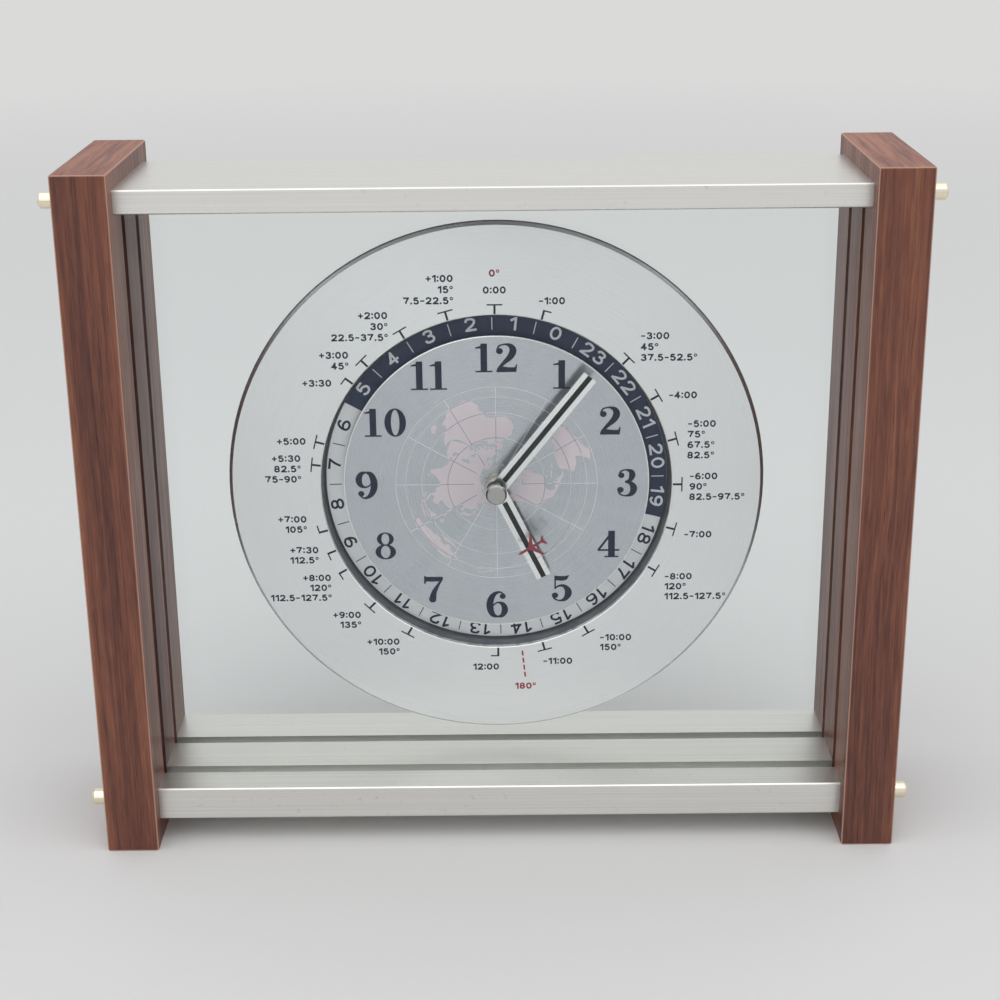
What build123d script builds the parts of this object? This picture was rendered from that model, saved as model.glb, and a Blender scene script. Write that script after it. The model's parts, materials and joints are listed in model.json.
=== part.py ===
from build123d import *
import os
from math import atan2, cos, pi, radians, sin

# World time clock, in millimetres: X to the right, Y to the back, Z up.
# The origin lies on the table, midway between the posts and between their front and back faces.

# Dial band, which sets the size of the frame round it
opening_radius = 58.0
dial_band = 29.1
dial_thickness = 1.8
gasket_thickness = 0.2
gasket_rim = 1.25
dial_gap_below = 7.2
dial_gap_above = 10.3
side_margin = 25.9

# Wooden posts
post_width = 17.0
post_depth = 66.6
post_edge = 0.8

# Aluminium rails
rail_front_setback = 6.5
top_rail_back_setback = 8.1
bottom_rail_back_setback = 0.8
top_rail_height = 7.4
top_rail_drop = 5.8
bottom_rail_height = 11.1
bottom_rail_lift = 8.4
rail_edge = 0.4

# Clear panes in grooves
pane_thickness = 6.0
pane_seat = 3.0
pane_clearance = 0.1
front_pane_setback = 21.1
rear_pane_setback = 44.6

# Brass tie pins through the posts into the rail ends
pin_radius = 2.7
pin_reach = 6.2
pin_chamfer = 0.8
pin_hold = 14.0
pin_clearance = 0.03

# Recessed dial pieces
inner_recess = 2.0
inner_band = 7.4
inner_dial_thickness = 0.8
ring_recess = 6.0
ring_thickness = 0.6
ring_clearance = 0.5
day_gear_thickness = 1.0
cup_wall = 1.0
cup_plate = 0.8
cup_taper = 0.9
cup_clearance = 0.3
flange_inset = 7.6
stud_radius = 1.5
stud_embed = 1.0
stud_hole_clearance = 0.15
stud_count = 4
nut_across = 5.5
nut_height = 2.4
stud_tail = 0.6
drill_margin = 1.0

# Hub, pipes and hands
running_fit = 0.05
second_arbor_radius = 0.85
minute_pipe_radius = 1.95
hour_pipe_radius = 2.75
bush_radius = 3.5
bush_flange_radius = 6.0
bush_flange = 0.35
bush_lead = 1.7
center_nut_height = 1.2
center_nut_radius = 4.3
center_nut_notch = 0.35
center_nut_notch_width = 1.4
center_nut_notches = 4
spacer_radius = 5.2
spacer_head_radius = 7.0
spacer_gap = 0.3
boss_radius = 3.4
hand_thickness = 0.6
hand_width = 5.0
hand_gap = 0.6
hour_hand_length = 35.5
minute_hand_length = 49.0
hour_hand_lift = 3.2
minute_hand_lift = 6.4
second_disc_lift = 9.4
second_disc_radius = 26.5
second_disc_thickness = 0.6
second_boss_radius = 2.6
cap_height = 2.2
cap_edge = 0.5
cap_wall = 0.8
cap_groove = 0.35

# Aeroplane on the seconds disc
plane_orbit = 22.0
plane_length = 10.4
plane_span = 8.4
plane_thickness = 0.4

# Angles at rest, clockwise from twelve
hour_rest = 154.0
minute_rest = 38.7
second_rest = 148.5

# Tooth counts of the train
cannon_teeth = 8
minute_teeth = 32
minute_pinion_teeth = 10
hour_teeth = 30
day_wheel_teeth = 24
day_pinion_teeth = 16
day_gear_teeth = 40
second_pinion_teeth = 8
third_teeth = 60
third_pinion_teeth = 8
center_teeth = 64
second_teeth = 40
step_pinion_teeth = 8
step_teeth = 48
rotor_teeth = 8

# Tooth form, in modules and in shares of the tooth pitch
tooth_addendum = 0.8
tooth_dedendum = 1.15
tooth_root_share = 0.27
tooth_tip_share = 0.12

# Arbor distances and directions, counter-clockwise from three o'clock
minute_distance = 12.0
minute_direction = 90.0
day_direction = 190.0
third_distance = 11.5
third_direction = 0.0
step_distance = 12.0
step_direction = 150.0
rotor_distance = 10.1
rotor_direction = 110.0

# Wheels and arbors
wheel_thickness = 0.8
wheel_gap = 0.7
wheel_lead = 0.5
pinion_overlap = 0.15
arbor_radius = 0.6
minute_arbor_radius = 1.0
pivot_depth = 0.9
pivot_shake = 0.1
clutch_radius = 1.5
clutch_shoulder_radius = 2.2
clutch_spring_radius = 3.6
clutch_spring_thickness = 0.2

# Stepping motor
magnet_radius = 2.5
magnet_thickness = 1.6
magnet_gap = 0.45
stator_thickness = 1.0
stator_bore_gap = 0.5
stator_pole_radius = 4.6
stator_strip = 3.4
stator_length = 39.2
coil_clearance = 0.5
core_height = 2.4
core_thickness = 1.0
coil_tube_radius = 1.8
coil_wire_radius = 2.7
coil_flange_radius = 3.0
coil_flange = 0.8
coil_end_gap = 0.3

# Movement case and battery
battery_radius = 7.1
battery_length = 50.5
battery_nub_radius = 2.7
battery_nub = 1.2
battery_clearance = 0.2
battery_floor = 0.6
battery_end_room = 1.55
case_wall = 1.2
case_floor = 1.5
case_back = 1.4
case_split = 7.0
case_corner = 3.0
case_clearance = 0.55
case_top_room = 0.5
screw_radius = 0.8
screw_head_radius = 1.5
screw_head = 0.9
screw_boss_radius = 1.8
screw_boss_gap = 0.5
screw_low_z = 9.0
knob_radius = 5.6
knob_height = 3.2
knob_gap = 0.3
knob_ribs = 24
knob_rib_depth = 0.35
knob_well_wall = 0.8
knob_well_clearance = 0.6
knob_well_depth = 2.1

# Circuit board
arbor_board_gap = 2.4
board_height = 18.0
board_thickness = 0.8
board_standoff = 3.5
board_gap = 0.7
board_bottom = -6.0
board_post_radius = 1.2
chip_size = 4.4
chip_height = 1.0
crystal_radius = 1.0
crystal_length = 6.0
crystal_gap = 0.4
contact_thickness = 0.4
contact_width = 8.0
contact_reach = 5.0

# Frame places worked out from the sizes above
dial_radius = opening_radius + dial_band
half_inner = dial_radius + side_margin
half_outer = half_inner + post_width
front_y = -post_depth / 2
back_y = post_depth / 2
rail_front = front_y + rail_front_setback
top_rail_back = back_y - top_rail_back_setback
low_rail_back = back_y - bottom_rail_back_setback
low_rail_top = bottom_rail_lift + bottom_rail_height
dial_z = low_rail_top + dial_gap_below + dial_radius
top_rail_bottom = dial_z + dial_radius + dial_gap_above
top_rail_top = top_rail_bottom + top_rail_height
post_height = top_rail_top + top_rail_drop
front_pane_mid = front_y + front_pane_setback
rear_pane_mid = front_y + rear_pane_setback
pane_half = pane_thickness / 2
groove_half = pane_half + pane_clearance
pane_front = rear_pane_mid - pane_half
pane_back = rear_pane_mid + pane_half

# Dial places along Y
dial_back = pane_front - gasket_thickness
dial_front = dial_back - dial_thickness
inner_front = dial_front + inner_recess
inner_back = inner_front + inner_dial_thickness
ring_front = dial_front + ring_recess
ring_back = ring_front + ring_thickness
gear_back = ring_back + day_gear_thickness
plate_back = pane_back + cup_plate
case_front = plate_back
wall_inner = opening_radius - cup_taper
inner_dial_radius = opening_radius - inner_band
flange_radius = dial_radius - flange_inset
pane_hole = opening_radius + cup_wall + cup_clearance
stud_circle = (pane_hole + flange_radius) / 2

# Hub places along Y
nut_front = inner_front - center_nut_height
bush_front = inner_front - bush_lead
hour_front = inner_front - hour_hand_lift
minute_front = inner_front - minute_hand_lift
disc_front = inner_front - second_disc_lift
hour_bore = minute_pipe_radius + running_fit
minute_bore = second_arbor_radius + running_fit
bush_bore = hour_pipe_radius + running_fit


def layer(number):
    return case_front + case_floor + wheel_lead + number * (wheel_thickness + wheel_gap)


def polar(distance, direction, start=(0.0, 0.0)):
    angle = radians(direction)
    return (start[0] + distance * cos(angle), start[1] + distance * sin(angle))


# Train layers, front to back, and arbor places
hour_layer, minute_layer, center_layer, third_layer, second_layer, step_layer = (layer(k) for k in range(6))
hour_module = 2 * minute_distance / (minute_pinion_teeth + hour_teeth)
cannon_module = 2 * minute_distance / (cannon_teeth + minute_teeth)
day_distance = hour_module * (hour_teeth + day_wheel_teeth) / 2
day_module = 2 * day_distance / (day_pinion_teeth + day_gear_teeth)
third_module = 2 * third_distance / (second_pinion_teeth + third_teeth)
center_module = 2 * third_distance / (third_pinion_teeth + center_teeth)
second_module = 2 * step_distance / (second_teeth + step_pinion_teeth)
rotor_module = 2 * rotor_distance / (rotor_teeth + step_teeth)
center = (0.0, 0.0)
minute_at = polar(minute_distance, minute_direction)
day_at = polar(day_distance, day_direction)
third_at = polar(third_distance, third_direction)
step_at = polar(step_distance, step_direction)
rotor_at = polar(rotor_distance, rotor_direction, step_at)


def tip_radius(teeth, module):
    return module * (teeth / 2 + tooth_addendum)


# Case outline and battery bay, from the train and the battery
bay_ceiling = min(third_at[1] - tip_radius(third_teeth, third_module),
                  day_at[1] - tip_radius(day_wheel_teeth, hour_module)) - case_clearance
bay_top = bay_ceiling - case_wall
battery_z = bay_top - battery_clearance - battery_radius
bay_bottom = battery_z - battery_radius - battery_clearance
chamber_half = battery_length / 2 + battery_end_room
case_half = chamber_half + case_wall
coil_z = rotor_at[1] + stator_pole_radius + coil_flange_radius + coil_clearance
chamber_top = coil_z + coil_flange_radius + case_top_room
case_top = chamber_top + case_wall
case_bottom = bay_bottom - case_wall
battery_y = case_front + battery_floor + battery_clearance + battery_radius
magnet_front = step_layer + wheel_thickness + magnet_gap
magnet_back = magnet_front + magnet_thickness
stator_front = magnet_front + (magnet_thickness - stator_thickness) / 2
stator_back = stator_front + stator_thickness
core_front = stator_front - core_thickness
coil_y = core_front + core_thickness / 2
well_front = magnet_back + wheel_lead - pinion_overlap
well_floor = well_front + knob_well_wall
case_end = well_floor + knob_well_depth
back_inner = case_end - case_back
case_seam = case_front + case_split
board_back = back_inner - board_standoff
board_front = board_back - board_thickness
screw_x = chamber_half - screw_boss_radius - screw_boss_gap
screw_high_z = chamber_top - screw_boss_radius - screw_boss_gap
screw_places = [(side * screw_x, z) for side in (-1, 1) for z in (screw_high_z, screw_low_z)]
board_right = screw_x - screw_boss_radius - board_gap
board_left = third_at[0] + arbor_radius + arbor_board_gap
board_top = board_bottom + board_height
board_posts = [(board_left + board_post_radius, board_bottom + board_post_radius),
               (board_right - board_post_radius, board_top - board_post_radius)]
leg_left = screw_boss_radius + coil_clearance - screw_x
leg_right = leg_left + stator_length
stator_posts = [(leg_left + stator_strip / 2, coil_z - coil_flange_radius),
                (leg_right - stator_strip / 2, coil_z - coil_flange_radius)]


def block(xs, ys, zs):
    size = [high - low for low, high in (xs, ys, zs)]
    middle = [(low + high) / 2 for low, high in (xs, ys, zs)]
    return Pos(*middle) * Box(*size)


def slab(sketch, front, back, at=center):
    plane = Plane(origin=(at[0], back, at[1]), x_dir=(1, 0, 0), z_dir=(0, -1, 0))
    return extrude(plane * sketch, amount=back - front, dir=(0, -1, 0))


def rod(radius, front, back, at=center):
    return slab(Circle(radius), front, back, at)


def drill(radius, front, back, at=center):
    return rod(radius, front - drill_margin, back + drill_margin, at)


def tube(outer, inner, front, back, at=center):
    return slab(Circle(outer) - Circle(inner), front, back, at)


def toothed(teeth, module, phase):
    pitch = module * teeth / 2
    tip = pitch + tooth_addendum * module
    root = pitch - tooth_dedendum * module
    step = 2 * pi / teeth
    corners = ((root, -tooth_root_share), (tip, -tooth_tip_share), (tip, tooth_tip_share), (root, tooth_root_share))
    points = []
    for tooth in range(teeth):
        for radius, share in corners:
            angle = phase + (tooth + share) * step
            points.append((radius * cos(angle), radius * sin(angle)))
    return Polygon(*points)


def meshed(teeth, phase, at, other_teeth, other_at):
    # Phase of the other gear that puts a gap where this gear has a tooth on the line of centres.
    line = atan2(other_at[1] - at[1], other_at[0] - at[0])
    share = (phase - line) / (2 * pi / teeth)
    return line + pi + (0.5 - share) * 2 * pi / other_teeth


def hand(length, hole):
    blade = Pos(0, length / 2) * Rectangle(hand_width, length)
    return blade + Circle(boss_radius) - Circle(hole)


def turned(shape, clockwise):
    return Rot(0, clockwise, 0) * shape


parts = {}
dial_parts = {}

# Posts with stopped grooves for the panes
pane_low = low_rail_top - pane_seat
pane_high = top_rail_bottom + pane_seat
rails = {"top_rail": (top_rail_bottom, top_rail_top, top_rail_back),
         "bottom_rail": (bottom_rail_lift, low_rail_top, low_rail_back)}
front_strip = (rail_front + front_pane_mid - groove_half) / 2
pin_places = []
for low, high, back in rails.values():
    rear_strip = (rear_pane_mid + groove_half + back) / 2
    pin_places += [(y, (low + high) / 2) for y in (front_strip, rear_strip)]


def pin_hole(y, z):
    length = 2 * (half_outer + pin_reach)
    return Pos(0, y, z) * Rot(0, 90, 0) * Cylinder(pin_radius + pin_clearance, length)


pin_holes = Part() + [pin_hole(y, z) for y, z in pin_places]
pane_mids = (front_pane_mid, rear_pane_mid)
for name, side in (("left_post", -1), ("right_post", 1)):
    faces = sorted((side * half_inner, side * half_outer))
    post = block(faces, (front_y, back_y), (0, post_height))
    post = fillet(post.edges(), post_edge)
    reach = half_inner + pane_seat
    for middle in pane_mids:
        post -= block((-reach, reach), (middle - groove_half, middle + groove_half), (pane_low, pane_high))
    parts[name] = post - pin_holes

# Rails with two pane grooves each
span = (-half_inner, half_inner)
blind = half_inner - pin_hold
for name, (low, high, back) in rails.items():
    rail = block(span, (rail_front, back), (low, high))
    rail = chamfer(rail.edges().filter_by(Axis.X), rail_edge)
    for middle in pane_mids:
        groove = (middle - groove_half, middle + groove_half)
        rail -= block(span, groove, (low_rail_top - pane_seat, low_rail_top))
        rail -= block(span, groove, (top_rail_bottom, top_rail_bottom + pane_seat))
    bores = pin_holes - block((-blind, blind), (front_y, back_y), (0, post_height))
    parts[name] = rail - bores

# Tie pins with eased ends
pin_length = half_outer + pin_reach - blind
pin = Cylinder(pin_radius, pin_length, align=(Align.CENTER, Align.CENTER, Align.MIN))
pin = chamfer(pin.edges().group_by(Axis.Z)[-1], pin_chamfer)
pins = [Pos(side * blind, y, z) * Rot(0, side * 90, 0) * pin for y, z in pin_places for side in (-1, 1)]
parts["frame_pins"] = Compound(children=pins)

# Panes; the rear one is bored for the cup and the dial studs
pane_x = half_inner + pane_seat - pane_clearance
pane_z = (pane_low + pane_clearance, pane_high - pane_clearance)
studs_at = [polar(stud_circle, 360 / stud_count * k) for k in range(stud_count)]
stud_hole = stud_radius + stud_hole_clearance
panes = [block((-pane_x, pane_x), (middle - pane_half, middle + pane_half), pane_z) for middle in pane_mids]
parts["front_pane"] = panes[0]
pane_holes = [drill(pane_hole, pane_front, pane_back)]
pane_holes += [drill(stud_hole, pane_front, pane_back, at) for at in studs_at]
rear_pane = panes[1]
for hole in pane_holes:
    rear_pane -= Pos(0, 0, dial_z) * hole
parts["rear_pane"] = rear_pane

# Outer dial on a dark gasket that shows round its rim, its studs and their nuts
nut_back = plate_back + nut_height
stud_front = dial_back - stud_embed
outer_dial = tube(dial_radius, opening_radius, dial_front, dial_back)
gasket = tube(dial_radius + gasket_rim, opening_radius, dial_back, pane_front)
for at in studs_at:
    outer_dial -= rod(stud_radius, stud_front, dial_back, at)
    gasket -= rod(stud_radius, dial_back, pane_front, at)
dial_parts["outer_dial"] = outer_dial
dial_parts["dial_gasket"] = gasket
dial_parts["dial_studs"] = Compound(
    children=[rod(stud_radius, stud_front, nut_back + stud_tail, at) for at in studs_at])
nut_sketch = RegularPolygon(nut_across / 2, 6, major_radius=False) - Circle(stud_radius)
dial_parts["dial_nuts"] = Compound(children=[slab(nut_sketch, plate_back, nut_back, at) for at in studs_at])

# Cup: a tapered wall in the pane's hole and a flat plate behind the pane
wall_profile = [(opening_radius, pane_front), (opening_radius + cup_wall, pane_front),
                (opening_radius + cup_wall, pane_back), (flange_radius, pane_back), (flange_radius, plate_back),
                (bush_radius, plate_back), (bush_radius, pane_back), (wall_inner, pane_back)]
cup = revolve(Plane.XY * Polygon(*wall_profile), Axis.Y)
day_hole = arbor_radius + stud_hole_clearance
cup -= drill(day_hole, pane_back, plate_back, day_at)
for at in studs_at:
    cup -= drill(stud_hole, pane_back, plate_back, at)
dial_parts["dial_cup"] = cup

# Inner dial, its spacer, nut and bush
dial_parts["inner_dial"] = tube(inner_dial_radius, bush_radius, inner_front, inner_back)
head_back = ring_front - spacer_gap
dial_parts["dial_spacer"] = (tube(spacer_head_radius, bush_radius, inner_back, head_back)
                             + tube(spacer_radius, bush_radius, head_back, pane_back))
nut = Circle(center_nut_radius) - Circle(bush_radius)
for k in range(center_nut_notches):
    turn = 360 / center_nut_notches * (k + 0.5)
    nut -= Rot(0, 0, turn) * Pos(center_nut_radius, 0) * Rectangle(2 * center_nut_notch, center_nut_notch_width)
dial_parts["center_nut"] = slab(nut, nut_front, inner_front)
flange_back = case_front + case_floor + bush_flange
dial_parts["center_bush"] = (tube(bush_radius, bush_bore, bush_front, flange_back)
                             + tube(bush_flange_radius, bush_bore, case_front + case_floor, flange_back))

# Turning 24-hour disc and its gear
ring_bore = spacer_radius + running_fit
dial_parts["day_disc"] = tube(wall_inner - ring_clearance, ring_bore, ring_front, ring_back)
day_pinion_phase = 0.0
day_gear_phase = meshed(day_pinion_teeth, day_pinion_phase, day_at, day_gear_teeth, center)
day_gear = toothed(day_gear_teeth, day_module, day_gear_phase) - Circle(ring_bore)
dial_parts["day_gear"] = slab(day_gear, ring_back, gear_back)

# Hands with collets on their pipes
collet_room = bush_front - hour_front - hand_thickness
hour_hand = slab(hand(hour_hand_length, hour_pipe_radius), hour_front, hour_front + hand_thickness)
hour_hand += tube(boss_radius, hour_pipe_radius, hour_front + hand_thickness, bush_front - collet_room / 3)
dial_parts["hour_hand"] = turned(hour_hand, hour_rest)
minute_hand = slab(hand(minute_hand_length, minute_pipe_radius), minute_front, minute_front + hand_thickness)
minute_hand += tube(boss_radius, minute_pipe_radius, minute_front + hand_thickness, hour_front - hand_gap)
dial_parts["minute_hand"] = turned(minute_hand, minute_rest)

# Clear seconds disc, aeroplane and cap
disc_back = disc_front + second_disc_thickness
second_disc = tube(second_disc_radius, second_arbor_radius, disc_front, disc_back)
second_disc += tube(second_boss_radius, second_arbor_radius, disc_back, minute_front - hand_gap)
dial_parts["second_disc"] = second_disc
nose = plane_length / 2
wing = plane_span / 2
half_plane = [(nose, 0), (nose * 0.86, nose * 0.075), (nose * 0.2, nose * 0.09), (-nose * 0.33, wing),
              (-nose * 0.45, wing), (-nose * 0.14, nose * 0.09), (-nose * 0.69, nose * 0.065),
              (-nose * 0.89, wing * 0.38), (-nose, wing * 0.38), (-nose * 0.89, 0)]
outline = half_plane + [(x, -y) for x, y in reversed(half_plane[1:-1])]
silhouette = Pos(0, plane_orbit) * Polygon(*outline)
dial_parts["airplane"] = turned(slab(silhouette, disc_front - plane_thickness, disc_front), second_rest)
cap_front = disc_front - cap_height
cap = rod(boss_radius, cap_front, disc_front)
cap = chamfer(cap.edges().group_by(Axis.Y)[0], cap_edge)
groove_front = (cap_front + cap_edge + disc_front - cap_groove) / 2
cap -= tube(boss_radius + cap_groove, boss_radius - cap_groove, groove_front, groove_front + cap_groove)
dial_parts["second_cap"] = cap - rod(second_arbor_radius, cap_front + cap_wall, disc_front)

# Motion work: hour wheel, cannon pinion, minute wheel with the setting knob's arbor
cannon_phase = 0.0
minute_phase = meshed(cannon_teeth, cannon_phase, center, minute_teeth, minute_at)
minute_pinion_phase = 0.0
hour_phase = meshed(minute_pinion_teeth, minute_pinion_phase, minute_at, hour_teeth, center)
hour_wheel = slab(toothed(hour_teeth, hour_module, hour_phase) - Circle(hour_bore),
                  hour_layer, hour_layer + wheel_thickness)
hour_wheel += tube(hour_pipe_radius, hour_bore, hour_front, hour_layer)
dial_parts["hour_wheel"] = hour_wheel
cannon_front = minute_layer - pinion_overlap
cannon_back = minute_layer + wheel_thickness + pinion_overlap
spring_front = center_layer + wheel_thickness + running_fit
spring_back = spring_front + clutch_spring_thickness
cannon = slab(toothed(cannon_teeth, cannon_module, cannon_phase) - Circle(minute_bore), cannon_front, cannon_back)
cannon += tube(minute_pipe_radius, minute_bore, minute_front, cannon_front)
cannon += tube(clutch_radius, minute_bore, cannon_back, spring_back)
cannon += tube(clutch_shoulder_radius, minute_bore, cannon_back, center_layer - running_fit)
dial_parts["cannon_pinion"] = cannon
dial_parts["clutch_spring"] = tube(clutch_spring_radius, clutch_radius, spring_front, spring_back)
pivot_front = case_front + case_floor - pivot_depth
knob_front = well_floor + knob_gap
knob_back = knob_front + knob_height
minute_wheel = slab(toothed(minute_teeth, cannon_module, minute_phase), minute_layer,
                    minute_layer + wheel_thickness, minute_at)
minute_wheel += slab(toothed(minute_pinion_teeth, hour_module, minute_pinion_phase),
                     hour_layer - pinion_overlap, minute_layer, minute_at)
minute_wheel += rod(minute_arbor_radius, pivot_front + pivot_shake, knob_back - knob_height / 3, minute_at)
dial_parts["minute_wheel"] = minute_wheel
rib_step = 2 * pi / knob_ribs
knob_outline = [((knob_radius - knob_rib_depth * (k % 2)) * cos(k * rib_step / 2),
                 (knob_radius - knob_rib_depth * (k % 2)) * sin(k * rib_step / 2)) for k in range(2 * knob_ribs)]
knob = slab(Polygon(*knob_outline), knob_front, knob_back, minute_at)
dial_parts["set_knob"] = knob - rod(minute_arbor_radius, knob_front, knob_back - knob_height / 3, minute_at)

# Drive of the 24-hour disc
day_phase = meshed(hour_teeth, hour_phase, center, day_wheel_teeth, day_at)
pinion_front = ring_back + (pane_back - gear_back) / 2
pivot_back = back_inner + pivot_depth
day_drive = slab(toothed(day_wheel_teeth, hour_module, day_phase), hour_layer, hour_layer + wheel_thickness, day_at)
day_drive += slab(toothed(day_pinion_teeth, day_module, day_pinion_phase), pinion_front, gear_back, day_at)
day_drive += rod(arbor_radius, pinion_front, pivot_back - pivot_shake, day_at)
dial_parts["day_drive"] = day_drive


def wheel_and_pinion(at, wheel, wheel_front, pinion, pinion_layer):
    # A train wheel and its pinion on one arbor between the case floor and the case back.
    shape = slab(wheel, wheel_front, wheel_front + wheel_thickness, at)
    shape += slab(pinion, pinion_layer - pinion_overlap, pinion_layer + wheel_thickness + pinion_overlap, at)
    return shape + rod(arbor_radius, pivot_front + pivot_shake, pivot_back - pivot_shake, at)


# Going train: seconds wheel, third wheel, centre wheel, intermediate wheel and rotor
second_phase = 0.0
second_pinion_phase = 0.0
third_phase = meshed(second_pinion_teeth, second_pinion_phase, center, third_teeth, third_at)
third_pinion_phase = 0.0
center_phase = meshed(third_pinion_teeth, third_pinion_phase, third_at, center_teeth, center)
step_pinion_phase = meshed(second_teeth, second_phase, center, step_pinion_teeth, step_at)
step_phase = 0.0
rotor_phase = meshed(step_teeth, step_phase, step_at, rotor_teeth, rotor_at)
second_wheel = slab(toothed(second_teeth, second_module, second_phase), second_layer, second_layer + wheel_thickness)
second_wheel += slab(toothed(second_pinion_teeth, third_module, second_pinion_phase),
                     third_layer - pinion_overlap, third_layer + wheel_thickness + pinion_overlap)
second_wheel += rod(second_arbor_radius, cap_front + cap_wall, pivot_back - pivot_shake)
dial_parts["second_wheel"] = second_wheel
dial_parts["third_wheel"] = wheel_and_pinion(
    third_at, toothed(third_teeth, third_module, third_phase), third_layer,
    toothed(third_pinion_teeth, center_module, third_pinion_phase), center_layer)
center_sketch = toothed(center_teeth, center_module, center_phase) - Circle(clutch_radius + running_fit)
dial_parts["center_wheel"] = slab(center_sketch, center_layer, center_layer + wheel_thickness)
dial_parts["intermediate_wheel"] = wheel_and_pinion(
    step_at, toothed(step_teeth, rotor_module, step_phase), step_layer,
    toothed(step_pinion_teeth, second_module, step_pinion_phase), second_layer)
rotor_pinion = slab(toothed(rotor_teeth, rotor_module, rotor_phase),
                    step_layer - pinion_overlap, step_layer + wheel_thickness + pinion_overlap, rotor_at)
rotor_pinion += rod(arbor_radius, pivot_front + pivot_shake, pivot_back - pivot_shake, rotor_at)
dial_parts["rotor_pinion"] = rotor_pinion
dial_parts["rotor_magnet"] = tube(magnet_radius, arbor_radius, magnet_front, magnet_back, rotor_at)

# Stator, coil core, bobbin and winding
strip_half = stator_strip / 2
leg_top = coil_z + core_height / 2
stator_z = (rotor_at[1] - strip_half, rotor_at[1] + strip_half)
stator_y = (stator_front, stator_back)
stator = block((leg_left, leg_right), stator_y, stator_z) + rod(stator_pole_radius, *stator_y, rotor_at)
for low in (leg_left, leg_right - stator_strip):
    stator += block((low, low + stator_strip), stator_y, (stator_z[0], leg_top))
dial_parts["stator"] = stator - rod(magnet_radius + stator_bore_gap, *stator_y, rotor_at)
core_z = (coil_z - core_height / 2, coil_z + core_height / 2)
dial_parts["coil_core"] = block((leg_left, leg_right), (core_front, stator_front), core_z)
coil_low = leg_left + stator_strip + coil_end_gap
coil_high = leg_right - stator_strip - coil_end_gap


def coil_drum(radius, low, high):
    return Pos((low + high) / 2, coil_y, coil_z) * Rot(0, 90, 0) * Cylinder(radius, high - low)


core_slot = block((coil_low, coil_high), (core_front - pane_clearance, stator_front + pane_clearance),
                  (core_z[0] - pane_clearance, core_z[1] + pane_clearance))
bobbin = coil_drum(coil_tube_radius, coil_low, coil_high)
bobbin += coil_drum(coil_flange_radius, coil_low, coil_low + coil_flange)
bobbin += coil_drum(coil_flange_radius, coil_high - coil_flange, coil_high)
dial_parts["coil_bobbin"] = bobbin - core_slot
dial_parts["coil_winding"] = (coil_drum(coil_wire_radius, coil_low + coil_flange, coil_high - coil_flange)
                              - coil_drum(coil_tube_radius, coil_low + coil_flange, coil_high - coil_flange))


# Movement case in two shells, split at the seam, with a battery bay open to the back
def case_outline(inset, low, high):
    width = 2 * (case_half - inset)
    return Pos(0, (low + high) / 2) * RectangleRounded(width, high - low, case_corner - inset)


outer_shell = case_outline(0, case_bottom, case_top)
chamber = block((-chamber_half, chamber_half), (case_front + case_floor, case_end), (bay_ceiling, chamber_top))
bay = block((-chamber_half, chamber_half), (case_front + battery_floor, case_end), (bay_bottom, bay_top))
front_case = slab(outer_shell, case_front, case_seam) - chamber - bay
for at in screw_places:
    front_case += rod(screw_boss_radius, case_front + case_floor, case_seam, at)
    front_case -= rod(screw_radius, case_front + case_floor, case_seam, at)
front_case -= drill(bush_radius, case_front, case_front + case_floor)
front_case -= drill(arbor_radius + running_fit, case_front, case_front + case_floor, day_at)
front_pivots = [(minute_at, minute_arbor_radius), (third_at, arbor_radius), (step_at, arbor_radius),
                (rotor_at, arbor_radius)]
for at, radius in front_pivots:
    front_case -= rod(radius + running_fit, pivot_front, case_front + case_floor, at)
dial_parts["movement_front_case"] = front_case

well_radius = knob_radius + knob_well_clearance
rear_chamber = block((-chamber_half, chamber_half), (case_seam, back_inner), (bay_ceiling, chamber_top))
rear_case = slab(outer_shell, case_seam, case_end) - rear_chamber - bay
rear_case += rod(well_radius + knob_well_wall, well_front, case_end, minute_at)
rear_case -= rod(well_radius, well_floor, case_end, minute_at)
rear_case -= rod(minute_arbor_radius + running_fit, well_front, well_floor, minute_at)
for at in board_posts:
    rear_case += rod(board_post_radius, board_back, back_inner, at)
for at in stator_posts:
    rear_case += rod(board_post_radius, stator_back, back_inner, at)
for at in screw_places:
    rear_case += rod(screw_boss_radius, case_seam, back_inner, at)
    rear_case -= rod(screw_radius, case_seam, case_end, at)
    rear_case -= rod(screw_head_radius, case_end - screw_head, case_end, at)
rear_pivots = [(center, second_arbor_radius), (day_at, arbor_radius), (third_at, arbor_radius),
               (step_at, arbor_radius), (rotor_at, arbor_radius)]
for at, radius in rear_pivots:
    rear_case -= rod(radius + running_fit, back_inner, pivot_back, at)
dial_parts["movement_rear_case"] = rear_case
screws = [rod(screw_radius, case_front + case_floor, case_end - screw_head, at)
          + rod(screw_head_radius, case_end - screw_head, case_end, at) for at in screw_places]
dial_parts["case_screws"] = Compound(children=screws)

# Oscillator board on two posts of the rear case
dial_parts["circuit_board"] = block((board_left, board_right), (board_front, board_back), (board_bottom, board_top))
chip_x = (board_left + board_right - chip_size) / 2
chip_z = (board_bottom + board_top - chip_size) / 2
chip = block((chip_x, chip_x + chip_size), (board_back, board_back + chip_height), (chip_z, chip_z + chip_size))
dial_parts["ic_chip"] = chip
crystal_x = board_right - crystal_gap - crystal_radius
crystal_z = chip_z - crystal_gap - crystal_length / 2
crystal = Cylinder(crystal_radius, crystal_length)
dial_parts["quartz_crystal"] = Pos(crystal_x, board_back + crystal_radius, crystal_z) * crystal

# Battery and its contacts
plus_face = chamber_half - contact_thickness
nub_tip = plus_face - contact_thickness
can_end = nub_tip - battery_nub
can_start = nub_tip - battery_length


def along_battery(radius, low, high):
    return Pos((low + high) / 2, battery_y, battery_z) * Rot(0, 90, 0) * Cylinder(radius, high - low)


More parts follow.
